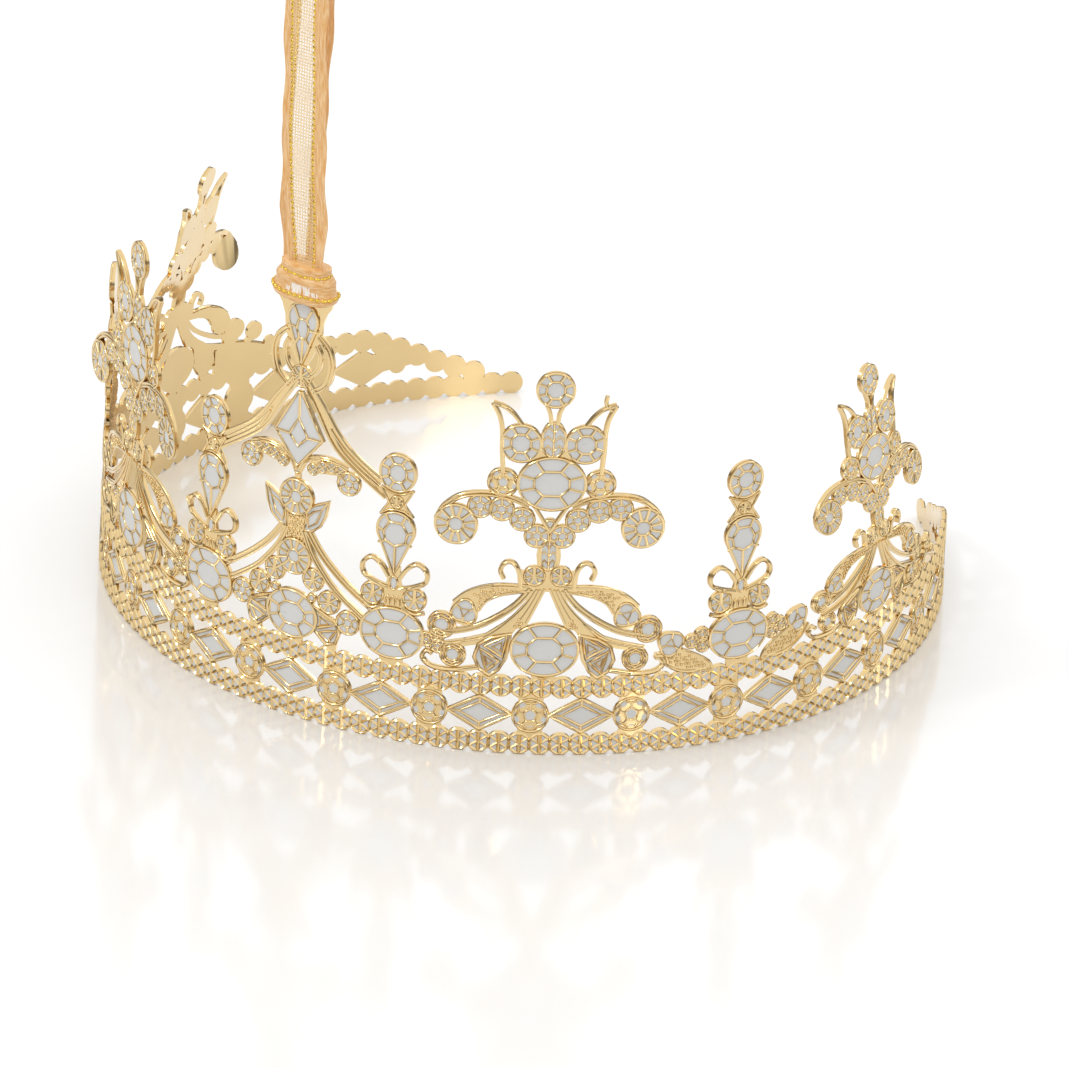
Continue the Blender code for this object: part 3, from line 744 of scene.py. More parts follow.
def bouquet_foot():
    """The right half of a bouquet's skirt: stalks, panel, grained wing and collets."""
    art = Artwork()
    art.plate([(0.05, 9.0), (0.45, 8.1), (0.95, 6.9), (1.55, 6.7), (1.75, 7.3), (1.05, 8.2), (0.75, 9.0)])
    art.line(smooth([(0.12, 9.0), (0.5, 8.1), (0.95, 7.1)]), 1.1)
    art.line(smooth([(0.34, 8.95), (0.75, 8.05), (1.25, 7.2)]), 1.1)
    art.line(smooth([(0.5, 8.95), (0.98, 8.1), (1.7, 7.25), (2.7, 6.35), (3.6, 5.98), (4.9, 5.65)]), 1.1)
    double_wire(art, [(0.8, 8.95), (1.5, 8.05), (2.5, 7.25), (3.6, 6.65), (5.0, 6.25)], 0.32)
    art.plate([(1.1, 7.2), (1.6, 6.5), (2.6, 5.9), (3.6, 5.7), (4.8, 5.4), (5.0, 5.75), (3.9, 6.05),
               (2.9, 6.4), (2.0, 7.1), (1.5, 7.6)])
    panel = [(1.62, 6.55), (1.8, 5.2), (2.2, 4.45), (2.65, 4.1), (3.2, 4.45), (3.5, 5.1), (3.3, 5.85),
             (2.6, 6.3)]
    framed_cell(art, panel, 1.4, [(2.3, 4.0), (2.95, 4.0), (2.95, 4.6), (2.3, 4.6)])
    art.line([(1.85, 6.4), (2.95, 5.75), (2.05, 5.2)], 1.3, True)
    art.line([(2.1, 6.0), (2.55, 5.72), (2.15, 5.5)], 1.0, True)
    art.line([(2.2, 5.0), (3.15, 5.6), (2.8, 4.4)], 1.3, True)
    art.line([(2.5, 4.95), (2.9, 5.2), (2.75, 4.75)], 1.0, True)
    wing = [(0.8, 8.85), (2.1, 8.6), (2.9, 8.2), (3.3, 7.6), (3.4, 7.0), (3.9, 6.7), (4.45, 6.85),
            (4.75, 7.4), (4.55, 8.0), (3.9, 8.6), (3.0, 9.0), (2.0, 9.15), (0.8, 9.1)]
    art.plate(wing)
    art.line(smooth(wing[:4]), 1.0)
    art.line(smooth(wing[8:]), 1.3)
    grains(art, [(1.0, 8.95), (2.0, 8.7), (2.9, 8.3), (3.35, 7.5), (3.5, 8.3), (3.8, 8.5), (3.0, 8.92)], 5)
    three_sided_gem(art, 4.0, 7.5, 0.68, 100)
    collet(art, 5.1, 6.65, 0.74)
    collet(art, 4.5, 5.12, 0.68)
    wire(art, [(3.2, 4.55), (4.4, 4.3), (5.5, 4.33), (6.02, 4.75), (5.8, 5.15), (5.5, 5.0)], 0.24)
    grains(art, [(0.95, 6.9), (1.5, 6.7), (1.75, 7.2), (1.3, 7.45)], 6)
    return art


def trefoil(art, s, z):
    """Three small honeycomb beads, the single one towards the middle of the front."""
    for across, up in ((-0.28, 0.0), (0.3, -0.27), (0.25, 0.3)):
        honeycomb_bead(art, s + across, z + up, 0.42)


def long_side():
    """What fills the long stretch between a bouquet and the outer spire."""
    art = Artwork()
    below = smooth([(5.5, 5.3), (6.0, 4.7), (7.0, 4.15), (8.6, 4.05)])
    above = smooth([(8.6, 4.05), (8.35, 4.55), (7.6, 5.05), (6.9, 5.4)])
    art.plate(below + above[1:])
    art.line(below, 1.1)
    art.line(above, 1.0)
    grains(art, [(5.8, 5.1), (6.2, 4.7), (7.1, 4.2), (8.3, 4.15), (8.2, 4.45), (7.5, 4.95), (6.8, 5.25)], 7)
    three_sided_gem(art, 6.3, 5.75, 0.7, 20)
    trefoil(art, 7.7, 5.72)
    return art


def end_sprig():
    """The last leaf of the upper edge, with a round bead and two buds on stalks."""
    art = Artwork()
    above = smooth([(39.9, 4.4), (38.0, 5.1), (36.6, 5.4), (35.6, 5.3)])
    art.plate([(35.6, 4.0), (39.2, 4.0), *above])
    art.line(above, 1.2)
    grains(art, [(35.8, 4.4), (38.8, 4.2), (38.0, 4.9), (36.6, 5.2)], 8)
    wire(art, [(37.5, 4.8), (38.1, 5.3)], 0.3)
    collet(art, 36.75, 5.85, 0.58)
    honeycomb_bead(art, 38.35, 5.65, 0.5)
    ring_bead(art, 39.4, 4.75, 0.38)
    return art


def placed(art, axis, scale, side):
    """An ornament moved to its axis, on the side +1 or -1 of the front."""
    wide, tall = scale
    return art.moved(lambda s, z: (side * (axis + wide * s), RAIL_TOP + tall * (z - RAIL_TOP)))


# ---------------------------------------------------------------- the band


def rail_beads():
    """Where the beads of both rails are."""
    places = [(s, LOW_RAIL + 0.07) for s in range(-TIP, TIP + 1)]
    places += [(s, HIGH_RAIL) for s in range(-RAIL_END, RAIL_END + 1)]
    for i, z in enumerate(TAPER):
        places += [(side * (RAIL_END + 1 + i), z) for side in (-1, 1)]
    return places


def rail_bead(s, z):
    """One bead: a rim, an upright bar and two crossed lines over enamel."""
    art = Artwork()
    art.line(disc(s, z, BEAD - 0.07, 10), 1.0, True)
    art.line([(s, z - BEAD + 0.1), (s, z + BEAD - 0.1)], 1.5)
    for turn in (34, 146):
        art.line(ray(s, z, turn, -BEAD + 0.1, BEAD - 0.1), 0.9)
    return art


def band():
    """The strip between and under the rails, with its lozenges and rosettes."""
    art = Artwork()
    for s, z in rail_beads():
        art.plate(disc(s, z, BEAD, 20))
        art.cell(disc(s, z, BEAD - 0.1, 12))
    for s in range(-TIP, TIP):
        art.plate(ribbon_of([(s + 0.5, 0.2), (s + 0.5, 0.95)], 0.06)[0])
    count = int(RAIL_END // PANEL)
    for i in range(-count, count + 1):
        lozenge(art, i * PANEL)
    for i in range(-count, count):
        flower_bead(art, (i + 0.5) * PANEL, BAND_MIDDLE - 0.02, 0.95)
        for side in (-1, 1):
            z = BAND_MIDDLE + side * 0.95
            art.plate(block(0.62, z - 0.3, z + 0.3, (i + 0.5) * PANEL))
    for side in (-1, 1):
        end = [(44.5, 2.1), (46.2, 1.8), (47.6, 2.0), (47.3, 2.7), (46.0, 3.0)]
        art.plate([(side * s, z) for s, z in end])
        flower_bead(art, side * 46.9, 2.05, 0.45)
    return art


def lozenge(art, s):
    """A lozenge of enamel in a broad frame, with a smaller one in it and lines between their corners."""

    def diamond(half_width, half_height):
        corners = ((-1, 0), (0, -1), (1, 0), (0, 1))
        return [(s + across * half_width, BAND_MIDDLE + up * half_height) for across, up in corners]

    art.plate(diamond(LOZENGE, 1.0))
    art.cell(diamond(0.86 * LOZENGE, 0.84))
    art.line(diamond(0.93 * LOZENGE, 0.9), 1.4, True)
    inner = diamond(1.02, 0.56)
    art.line(inner, 1.0, True)
    for start, end in zip(inner, diamond(1.615, 0.934)):
        art.line([start, end], 1.0)


def ornaments():
    """Every ornament as (the name its enamel has, its artwork)."""
    groups = [("middle", middle_ornament())]
    for side, word in ((-1, "left"), (1, "right")):
        for i, (axis, scale) in enumerate(zip(SPIRES, SPIRE_SCALES)):
            groups.append((f"{word}_spire_{i + 1}", placed(spire(), axis, scale, side)))
        for i, (axis, scale) in enumerate(zip(BOUQUETS, BOUQUET_SCALES[word])):
            art = bouquet()
            if word == "right" and i == 0:  # one horn still has a nib left by the etching
                wire(art, [(2.8, 18.62), (2.5, 18.95), (2.55, 19.4)], 0.2)
            groups.append((f"{word}_bouquet_{i + 1}", placed(art, axis, scale, side)))
    return groups


def fillers():
    """What stands on the upper rail between the ornaments."""
    art = Artwork()
    inner, outer = BOUQUETS
    for side in (-1, 1):
        art.add(placed(long_side(), inner, (1, 1), side))
        art.add(placed(long_side().moved(lambda s, z: (-s, z)), outer, (0.93, 1), side))
        art.add(placed(end_sprig(), 0, (1, 1), side))
        near = Artwork()
        trefoil(near, 7.5, 5.75)
        art.add(placed(near, 0, (1, 1), side))
    return art


# ---------------------------------------------------------------- materials


MIX_FIRST, MIX_SECOND, MIX_RESULT = 6, 7, 2  # the colour sockets of a mix node


def set_up(tree, node, settings=None, links=None):
    """Sets a node's properties and inputs, and links its inputs to other nodes' outputs."""
    for name, value in (settings or {}).items():
        if isinstance(name, int) or name in node.inputs:
            node.inputs[name].default_value = value
        else:
            setattr(node, name, value)
    for name, output in (links or {}).items():
        tree.links.new(output, node.inputs[name])
    return node


def add_node(tree, kind, settings=None, links=None):
    return set_up(tree, tree.nodes.new(kind), settings, links)


def new_material(name):
    """A material with its node tree and its surface shader."""
    material = bpy.data.materials.new(name)
    material.use_nodes = True
    tree = material.node_tree
    return material, tree, tree.nodes["Principled BSDF"]


def rgba(value):
    return (*value, 1.0)


def gilt_brass():
    """Etched brass sheet, gold plated and left bright.

    To the eye: a pale warm metal with soft reflections, a faint orange-peel from the etching bath, and a
    few tiny brown pits.
    """
    material, tree, shader = new_material("gilt_brass")
    place = {"Vector": add_node(tree, "ShaderNodeTexCoord").outputs["Object"]}
    cloud = add_node(
        tree, "ShaderNodeTexNoise", {"Scale": 160.0, "Detail": 3.0, "Roughness": 0.55}, place
    )  # about 6 mm from patch to patch
    pits = add_node(
        tree, "ShaderNodeTexVoronoi", {"Scale": 190.0, "Randomness": 1.0}, place
    )  # one cell is about 5 mm, and only its very middle is a pit
    skin = add_node(
        tree, "ShaderNodeTexNoise", {"Scale": 2500.0, "Detail": 2.0}, place
    )  # etched grain about 0.4 mm across
    pit = add_node(
        tree, "ShaderNodeMapRange", {"From Min": 0.015, "From Max": 0.05, "To Min": 1.0, "To Max": 0.0},
        {"Value": pits.outputs["Distance"]},
    )
    warm = tuple(0.88 * c for c in colours().gold)
    tone = add_node(
        tree, "ShaderNodeMix",
        {"data_type": "RGBA", MIX_FIRST: rgba(colours().gold), MIX_SECOND: rgba(warm)},
        {"Factor": cloud.outputs["Fac"]},
    )
    pitted = add_node(
        tree, "ShaderNodeMix", {"data_type": "RGBA", MIX_SECOND: rgba(colours().gold_deep)},
        {"Factor": pit.outputs["Result"], MIX_FIRST: tone.outputs[MIX_RESULT]},
    )
    gloss = add_node(
        tree, "ShaderNodeMapRange", {"To Min": 0.1, "To Max": 0.22}, {"Value": cloud.outputs["Fac"]}
    )
    bump = add_node(
        tree, "ShaderNodeBump", {"Strength": 0.12, "Distance": 0.04 * MM}, {"Height": skin.outputs["Fac"]}
    )
    set_up(
        tree, shader, {"Metallic": 1.0},
        {"Base Color": pitted.outputs[MIX_RESULT], "Roughness": gloss.outputs["Result"],
         "Normal": bump.outputs["Normal"]},
    )
    return material


def silver_white_enamel():
    """Silver-white cold enamel, wiped level in the etched cells.

    To the eye: an even pale grey with a satin surface, and a few short darker scuffs.
    """
    material, tree, shader = new_material("silver_white_enamel")
    place = add_node(tree, "ShaderNodeTexCoord")
    stretch = add_node(
        tree, "ShaderNodeMapping", {"Scale": (900.0, 900.0, 2200.0), "Rotation": (0.0, 0.6, 0.0)},
        {"Vector": place.outputs["Object"]},
    )  # scuffs about 1 mm long
    scuff = add_node(
        tree, "ShaderNodeTexNoise", {"Scale": 1.0, "Detail": 4.0, "Roughness": 0.7},
        {"Vector": stretch.outputs["Vector"]},
    )
    mask = add_node(
        tree, "ShaderNodeMapRange", {"From Min": 0.62, "From Max": 0.8}, {"Value": scuff.outputs["Fac"]}
    )
    tone = add_node(
        tree, "ShaderNodeMix",
        {"data_type": "RGBA", MIX_FIRST: rgba(colours().cell), MIX_SECOND: rgba(colours().cell_scuff)},
        {"Factor": mask.outputs["Result"]},
    )
    gloss = add_node(
        tree, "ShaderNodeMapRange", {"To Min": 0.42, "To Max": 0.6}, {"Value": scuff.outputs["Fac"]}
    )
    bump = add_node(
        tree, "ShaderNodeBump", {"Strength": 0.1, "Distance": 0.03 * MM}, {"Height": scuff.outputs["Fac"]}
    )
    set_up(
        tree, shader, None,
        {"Base Color": tone.outputs[MIX_RESULT], "Roughness": gloss.outputs["Result"],
         "Normal": bump.outputs["Normal"]},
    )
    return material


def woven(tree, scale, settings):
    """A noise that follows the ribbon's own threads: scale is for across and along, in millimetres."""
    place = add_node(tree, "ShaderNodeUVMap", {"uv_map": "weave"})
    stretch = add_node(tree, "ShaderNodeMapping", {"Scale": (*scale, 1.0)}, {"Vector": place.outputs["UV"]})
    return add_node(tree, "ShaderNodeTexNoise", settings, {"Vector": stretch.outputs["Vector"]})


def peach_satin():
    """Satin edge of polyester ribbon.

    To the eye: peach with long pale and tan streaks where bundles of thread catch the light.
    """
    material, tree, shader = new_material("peach_satin")
    streak = woven(tree, (5.0, 0.5), {"Scale": 1.0, "Detail": 4.0, "Roughness": 0.65})
    light = add_node(
        tree, "ShaderNodeMapRange", {"From Min": 0.36, "From Max": 0.66}, {"Value": streak.outputs["Fac"]}
    )
    tone = add_node(
        tree, "ShaderNodeMix",
        {"data_type": "RGBA", MIX_FIRST: rgba(colours().satin), MIX_SECOND: rgba(colours().satin_pale)},
        {"Factor": light.outputs["Result"]},
    )
    bump = add_node(
        tree, "ShaderNodeBump", {"Strength": 0.5, "Distance": 0.1 * MM}, {"Height": streak.outputs["Fac"]}
    )
    set_up(
        tree, shader, {"Roughness": 0.42, "Sheen Weight": 0.2},
        {"Base Color": tone.outputs[MIX_RESULT], "Normal": bump.outputs["Normal"]},
    )
    return material


def cream_organza():
    """Sheer organza: crossed threads with open gaps between them.

    To the eye: cream threads in a fine even mesh, with what is behind it showing through.
    """
    material, tree, shader = new_material("cream_organza")
    place = add_node(tree, "ShaderNodeUVMap", {"uv_map": "weave"})
    period = 1.5 * sizes().thread_pitch / MM  # drawn coarser than it is, to show at the ornament's size
    across, along = (
        add_node(
            tree, "ShaderNodeTexWave",
            {"bands_direction": direction, "Scale": math.pi / (10 * period), "Distortion": 0.4},
            {"Vector": place.outputs["UV"]},
        )
        for direction in ("X", "Y")
    )
    thread = add_node(
        tree, "ShaderNodeMath", {"operation": "MAXIMUM"}, {0: across.outputs["Fac"], 1: along.outputs["Fac"]}
    )
    cover = add_node(
        tree, "ShaderNodeMapRange", {"From Min": 0.5, "From Max": 0.95, "To Min": 0.0, "To Max": 0.48},
        {"Value": thread.outputs[0]},
    )
    tone = add_node(
        tree, "ShaderNodeMix",
        {"data_type": "RGBA", MIX_FIRST: rgba(linear("#FFF8EA")), MIX_SECOND: rgba(colours().organza)},
        {"Factor": thread.outputs[0]},
    )
    set_up(
        tree, shader, {"Roughness": 0.5},
        {"Base Color": tone.outputs[MIX_RESULT], "Alpha": cover.outputs["Result"]},
    )
    return material


def gathered_organza_fold_shade():
    """Organza gathered into the knot, many layers thick.

    To the eye: white, with brown lines of painted shade where the pleats fold in.
    """
    material, tree, shader = new_material("gathered_organza_fold_shade")
    line = woven(tree, (0.5, 3.2), {"Scale": 1.0, "Detail": 2.0, "Roughness": 0.5})
    # painted shade: where this mask is high, the satin colour darkens the white into brown lines in the
    # pleats' folds
    fold = add_node(
        tree, "ShaderNodeMapRange", {"From Min": 0.5, "From Max": 0.62}, {"Value": line.outputs["Fac"]}
    )
    tone = add_node(
        tree, "ShaderNodeMix",
        {"data_type": "RGBA", MIX_FIRST: rgba(linear("#F6F0E6")), MIX_SECOND: rgba(colours().satin)},
        {"Factor": fold.outputs["Result"]},
    )
    bump = add_node(
        tree, "ShaderNodeBump", {"Strength": 0.7, "Distance": 0.2 * MM, "invert": True},
        {"Height": line.outputs["Fac"]},
    )
    set_up(
        tree, shader, {"Roughness": 0.6},
        {"Base Color": tone.outputs[MIX_RESULT], "Normal": bump.outputs["Normal"]},
    )
    return material


def lurex_thread():
    """Metallic thread wound round the edge of the organza.

    To the eye: bright yellow-gold beads of light with dark gaps.
    """
    material, tree, shader = new_material("lurex_thread")
    place = add_node(tree, "ShaderNodeTexCoord")
    twist = add_node(
        tree, "ShaderNodeTexNoise", {"Scale": 3500.0, "Detail": 2.0}, {"Vector": place.outputs["Object"]}
    )  # foil strips about 0.3 mm wide
    deep = tuple(0.6 * c for c in colours().lurex)
    tone = add_node(
        tree, "ShaderNodeMix",
        {"data_type": "RGBA", MIX_FIRST: rgba(deep), MIX_SECOND: rgba(colours().lurex)},
        {"Factor": twist.outputs["Fac"]},
    )
    bump = add_node(
        tree, "ShaderNodeBump", {"Strength": 0.6, "Distance": 0.1 * MM}, {"Height": twist.outputs["Fac"]}
    )
    set_up(
        tree, shader, {"Metallic": 1.0, "Roughness": 0.18},
        {"Base Color": tone.outputs[MIX_RESULT], "Normal": bump.outputs["Normal"]},
    )
    return material


def shared(make):
    """A material that is made once, by the function of its name, and then shared."""
    return bpy.data.materials.get(make.__name__) or make()


RIBBON_FINISHES = (peach_satin, cream_organza, lurex_thread, gathered_organza_fold_shade)
SATIN, ORGANZA, THREAD, PLEATS = range(len(RIBBON_FINISHES))


# ---------------------------------------------------------------- meshes


def counter_clockwise(outline):
    turned = zip(outline, outline[1:] + outline[:1])
    area = sum(p[0] * q[1] - q[0] * p[1] for p, q in turned)
    return outline if area > 0 else outline[::-1]


def flat_region(plates, cuts=()):
    """One flat region that all the plates cover, less the cuts; the last plate gives the finish."""
    points, faces = [], []
    for outline in [outline for outline, _ in plates] + list(cuts):
        faces.append(list(range(len(points), len(points) + len(outline))))
        points += [Vector(p) for p in counter_clockwise(outline)]
    made = delaunay_2d_cdt(points, [], faces, 1, 0.0005)
    bm = bmesh.new()
    verts = [bm.verts.new((p.x, 0, p.y)) for p in made[0]]
    for corners, covered_by in zip(made[2], made[5]):
        if covered_by and max(covered_by) < len(plates):
            face = bm.faces.new([verts[i] for i in corners])
            face.material_index = int(plates[max(covered_by)][1])
    bmesh.ops.delete(bm, geom=[v for v in bm.verts if not v.link_faces], context="VERTS")
    bmesh.ops.dissolve_limit(
        bm, angle_limit=math.radians(2), verts=bm.verts, edges=bm.edges, use_dissolve_boundaries=False,
        delimit={"MATERIAL"},
    )
    return bm


def cut_across(bm, step):
    """Edges across the region at even steps, so that it can follow the ring."""
    low, high = min(v.co.x for v in bm.verts), max(v.co.x for v in bm.verts)
    for i in range(math.floor(low / step) + 1, math.ceil(high / step)):
        everything = [*bm.verts, *bm.edges, *bm.faces]
        bmesh.ops.bisect_plane(
            bm, geom=everything, dist=1e-4, plane_co=(i * step, 0, 0), plane_no=(1, 0, 0)
        )


def plate_mesh(plates, depth, thickness, cuts=()):
    """A bent plate: its front shows each plate's finish, and its back and edges show the first finish."""
    bm = flat_region(plates, cuts)
    cut_across(bm, PLATE_STEP)
    bmesh.ops.triangulate(bm, faces=bm.faces)
    made = bmesh.ops.extrude_face_region(bm, geom=bm.faces[:], use_keep_orig=True)
    front = {g for g in made["geom"] if isinstance(g, (bmesh.types.BMVert, bmesh.types.BMFace))}
    for face in bm.faces:
        if face not in front:
            face.material_index = 0
    bend(bm.verts, lambda v: depth + (thickness if v in front else 0))
    return bm


def make_piece(name, bm, finishes, sharp=35.0):
    """A closed mesh as a piece that rides on the body, all its faces turned outwards: its edges are
    sharp above an angle in degrees."""
    bmesh.ops.recalc_face_normals(bm, faces=bm.faces)
    if bm.calc_volume(signed=True) < 0:
        bmesh.ops.reverse_faces(bm, faces=bm.faces)
    mesh = bpy.data.meshes.new(name)
    bm.to_mesh(mesh)
    bm.free()
    for make in finishes:
        mesh.materials.append(shared(make))
    mesh.shade_smooth()
    mesh.set_sharp_from_angle(angle=math.radians(sharp))
    obj = bpy.data.objects.new(name, mesh)
    bpy.context.scene.collection.objects.link(obj)
    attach(obj, "root")
    return obj


def evenly(points, closed):
    """A line with extra points where it runs straight for long, so that it can follow the ring."""
    full = points + points[:1] if closed else points
    line = []
    for a, b in zip(full, full[1:]):
        count = max(1, math.ceil(math.dist(a, b) / LINE_STEP))
        for i in range(count):
            line.append(tuple(p + (q - p) * i / count for p, q in zip(a, b)))
    return line if closed else line + [full[-1]]


def relief_piece(name, lines, roundness=1):
    """Raised lines on the bent sheet, as round wires sunk halfway into it."""
    curve = bpy.data.curves.new(name, "CURVE")
    curve.dimensions = "3D"
    curve.bevel_depth = 1.0
    curve.bevel_resolution = roundness
    curve.use_fill_caps = True
    for points, width, closed, on_gem in lines:
        line = evenly(points, closed)
        spline = curve.splines.new("POLY")
        spline.points.add(len(line) - 1)
        lift = GEM_RISE / sizes().pitch if on_gem else 0
        for point, (s, z) in zip(spline.points, line):
            point.co = (s, -lift, z, 1)
            point.radius = width * sizes().line / 2
        spline.use_cyclic_u = closed
    drawn = bpy.data.objects.new(name, curve)
    bpy.context.scene.collection.objects.link(drawn)
    bpy.context.view_layer.update()
    mesh = bpy.data.meshes.new_from_object(drawn.evaluated_get(bpy.context.evaluated_depsgraph_get()))
    bpy.data.objects.remove(drawn)
    bpy.data.curves.remove(curve)
    bend_relief(mesh.vertices)
    bm = bmesh.new()
    bm.from_mesh(mesh)
    bpy.data.meshes.remove(mesh)
    make_piece(name, bm, [gilt_brass], 60.0)


def bend_relief(mesh_verts):
    """Bends what stands on the sheet's front, which is at y = 0 in the flat artwork."""
    pitch, sheet = sizes().pitch, sizes().sheet
    bend(mesh_verts, lambda v: sheet - v.co.y * pitch)


# ---------------------------------------------------------------- the ribbon


def loop_route():
    """The line that the loop of ribbon follows, in metres: up in front, over, and down behind."""
    pitch = sizes().pitch
    foot, top = (KNOT_HEIGHT + 0.85) * pitch, LOOP_TOP * pitch
    near, wide = LOOP_FOOT * pitch, LOOP_HALF * pitch
    low, high = (math.radians(turn) for turn in LOOP_TURNS)
    start, end = (side * pitch for side in LOOP_SIDE)
    strand = []
    for i in range(ROUTE_STEPS + 1):
        f = i / ROUTE_STEPS
        away = near + (wide - near) * min(1, 3 * f)
        turn = low + (high - low) * min(1, 1.3 * f)
        strand.append((-away, foot + f * (top - wide - foot), turn, start + (end - start) * min(1, 3 * f)))
    fold = [(-wide * math.cos(a), top - wide + wide * math.sin(a), high, end)
            for a in (math.radians(d) for d in range(20, 180, 20))]
    back = [(-away, z, turn, side) for away, z, turn, side in reversed(strand)]
    middle = SHIFT + sizes().sheet / 2
    return [
        Vector((-away * math.sin(turn) - side, away * math.cos(turn) + middle, z))
        for away, z, turn, side in strand + fold + back
    ]


def swept(rings, finish, weave):
    """A closed tube through rings of points: finish(row, column) is a face's material, and
    weave(row, column) is a corner's place on the ribbon, across and along it, in millimetres."""
    bm = bmesh.new()
    uv = bm.loops.layers.uv.new("weave")
    rows = [[bm.verts.new(p) for p in ring] for ring in rings]
    count = len(rings[0])
    for r in range(len(rings) - 1):
        for c in range(count):
            corners = ((r, c), (r, c + 1), (r + 1, c + 1), (r + 1, c))
            face = bm.faces.new([rows[i][j % count] for i, j in corners])
            face.material_index = finish(r, c)
            for loop, (i, j) in zip(face.loops, corners):
                loop[uv].uv = weave(i, j)
    for row in (rows[0], rows[-1]):
        bm.faces.new(row)
    return bm


def bead_string(bm, line):
    """Adds a row of small beads along a line: a metallic thread."""
    radius, step = LUREX
    gone = 0.0
    for a, b in zip(line, line[1:]):
        along = b - a
        while gone < along.length:
            made = bmesh.ops.create_icosphere(bm, subdivisions=1, radius=radius)
            facing = along.to_track_quat("Z", "Y").to_matrix().to_4x4()
            place = Matrix.Translation(a + along.normalized() * gone)
            bmesh.ops.scale(bm, vec=(1, 1, 1.7), verts=made["verts"])
            bmesh.ops.transform(bm, matrix=place @ facing, verts=made["verts"])
            for face in {f for v in made["verts"] for f in v.link_faces}:
                face.material_index = THREAD
            gone += step
        gone -= along.length


def strip_rings(route):
    """The ribbon's cross-sections along its route, and the lines that its two metallic threads follow."""
    half = sizes().ribbon_width / 2
    rings, threads = [], ([], [])
    for i, middle in enumerate(route):
        f = i / (len(route) - 1)
        near_knot = max(0.0, 1 - min(f, 1 - f) / GATHERED)
        narrow = half * CURL * (1 - 0.25 * near_knot)
        before, after = route[max(i - 1, 0)], route[min(i + 1, len(route) - 1)]
        out = (after - before).cross(Vector((1, 0, 0))).normalized() * (RIBBON_THICK / 2)
        front, back = [], []
        for u in ACROSS:
            edge = max(0.0, abs(u) - 0.5)
            wave = edge * math.sin(2 * math.pi * WAVES * f + 3 * u) + 0.25 * near_knot * math.cos(9 * u)
            sway = math.sin(31 * f + u)
            place = middle + Vector((narrow * u + SWAY * sway, WAVE_DEPTH * wave, 0))
            front.append(place + out)
            back.append(place - out)
        rings.append(front + back[::-1])
        for thread, u in zip(threads, SHEER):
            thread.append(front[ACROSS.index(u)])
    return rings, threads


def ribbon_strip():
    """The loop of ribbon: satin edges that wave a little, and a flat sheer middle."""
    route = loop_route()
    rings, threads = strip_rings(route)
    places = ACROSS + ACROSS[::-1]  # the corners of a cross-section, front and then back
    half = sizes().ribbon_width / 2
    along = [0.0]
    for a, b in zip(route, route[1:]):
        along.append(along[-1] + (b - a).length / MM)

    def finish(row, c):
        u = (places[c] + places[(c + 1) % len(places)]) / 2
        return ORGANZA if SHEER[0] < u < SHEER[1] else SATIN

    def weave(row, c):
        return (places[c % len(places)] * half / MM, along[row])

    bm = swept(rings, finish, weave)
    for thread in threads:
        bead_string(bm, thread)
    return bm


def ribbon_knot():
    """The knot: the ribbon wound tightly round the tab, with a pleated sheer window in front."""
    pitch = sizes().pitch
    middle = SHIFT + sizes().sheet / 2
    rings = []
    for rise, half_width, half_depth in KNOT_RINGS:
        ring = []
        for i in range(KNOT_SIDES):
            a = 2 * math.pi * i / KNOT_SIDES
            s = math.copysign(abs(math.cos(a)) ** KNOT_CORNERS, math.cos(a)) * half_width
            t = math.copysign(abs(math.sin(a)) ** KNOT_CORNERS, math.sin(a)) * half_depth
            slope = 0.03 * s * s - 0.04 * s  # both ends rise, the left one more
            fold = 1 + 0.02 * math.sin(5 * a + 4 * rise) + 0.015 * math.sin(11 * a - 3 * rise)
            ring.append(Vector((s * pitch, t * pitch * fold + middle, (KNOT_HEIGHT + rise + slope) * pitch)))
        rings.append(ring)

    def finish(row, c):
        across = KNOT_RINGS[row][1] * math.cos(2 * math.pi * (c + 0.5) / KNOT_SIDES)
        in_front = c >= KNOT_SIDES / 2
        window = LOWER_THREAD < row < LOWER_THREAD + 3
        reach = 1.05 - 0.3 * (row - LOWER_THREAD)
        return PLEATS if in_front and window and abs(across - 0.15) < reach else SATIN

    def weave(row, c):
        return (KNOT_RINGS[row][0] * pitch / MM, 0.35 * c * pitch / MM)

    bm = swept(rings, finish, weave)
    for row in (LOWER_THREAD, UPPER_THREAD):
        bead_string(bm, rings[row] + rings[row][:1])
    return bm


# ---------------------------------------------------------------- operators


class CROWN_OT_camera(bpy.types.Operator):
    """Sets the camera: a long lens from the front right, a little above"""

    bl_idname = "crown.camera"
    bl_label = "Camera"

    def execute(self, context):
        cy, sy, cp, sp, cr, sr = (f(a) for a in CAMERA_TURN for f in (math.cos, math.sin))
        turn = (
            Matrix(((cr, -sr, 0), (sr, cr, 0), (0, 0, 1)))
            @ Matrix(((1, 0, 0), (0, cp, -sp), (0, sp, cp)))
            @ Matrix(((1, 0, 0), (0, 0, -1), (0, 1, 0)))
            @ Matrix(((cy, -sy, 0), (sy, cy, 0), (0, 0, 1)))
        )
        place = -(turn.transposed() @ CAMERA_OFFSET) * sizes().pitch + Vector((0, SHIFT, 0))
        data = bpy.data.cameras.new("camera")
        data.sensor_width = CAMERA_SENSOR
        data.lens = CAMERA_LENS
        data.clip_start, data.clip_end = 0.1, 20.0
        camera = bpy.data.objects.new("camera", data)
        context.scene.collection.objects.link(camera)
        facing = turn.transposed() @ Matrix(((1, 0, 0), (0, -1, 0), (0, 0, -1)))
        camera.matrix_world = Matrix.Translation(place) @ facing.to_4x4()
        context.scene.camera = camera
        return {"FINISHED"}


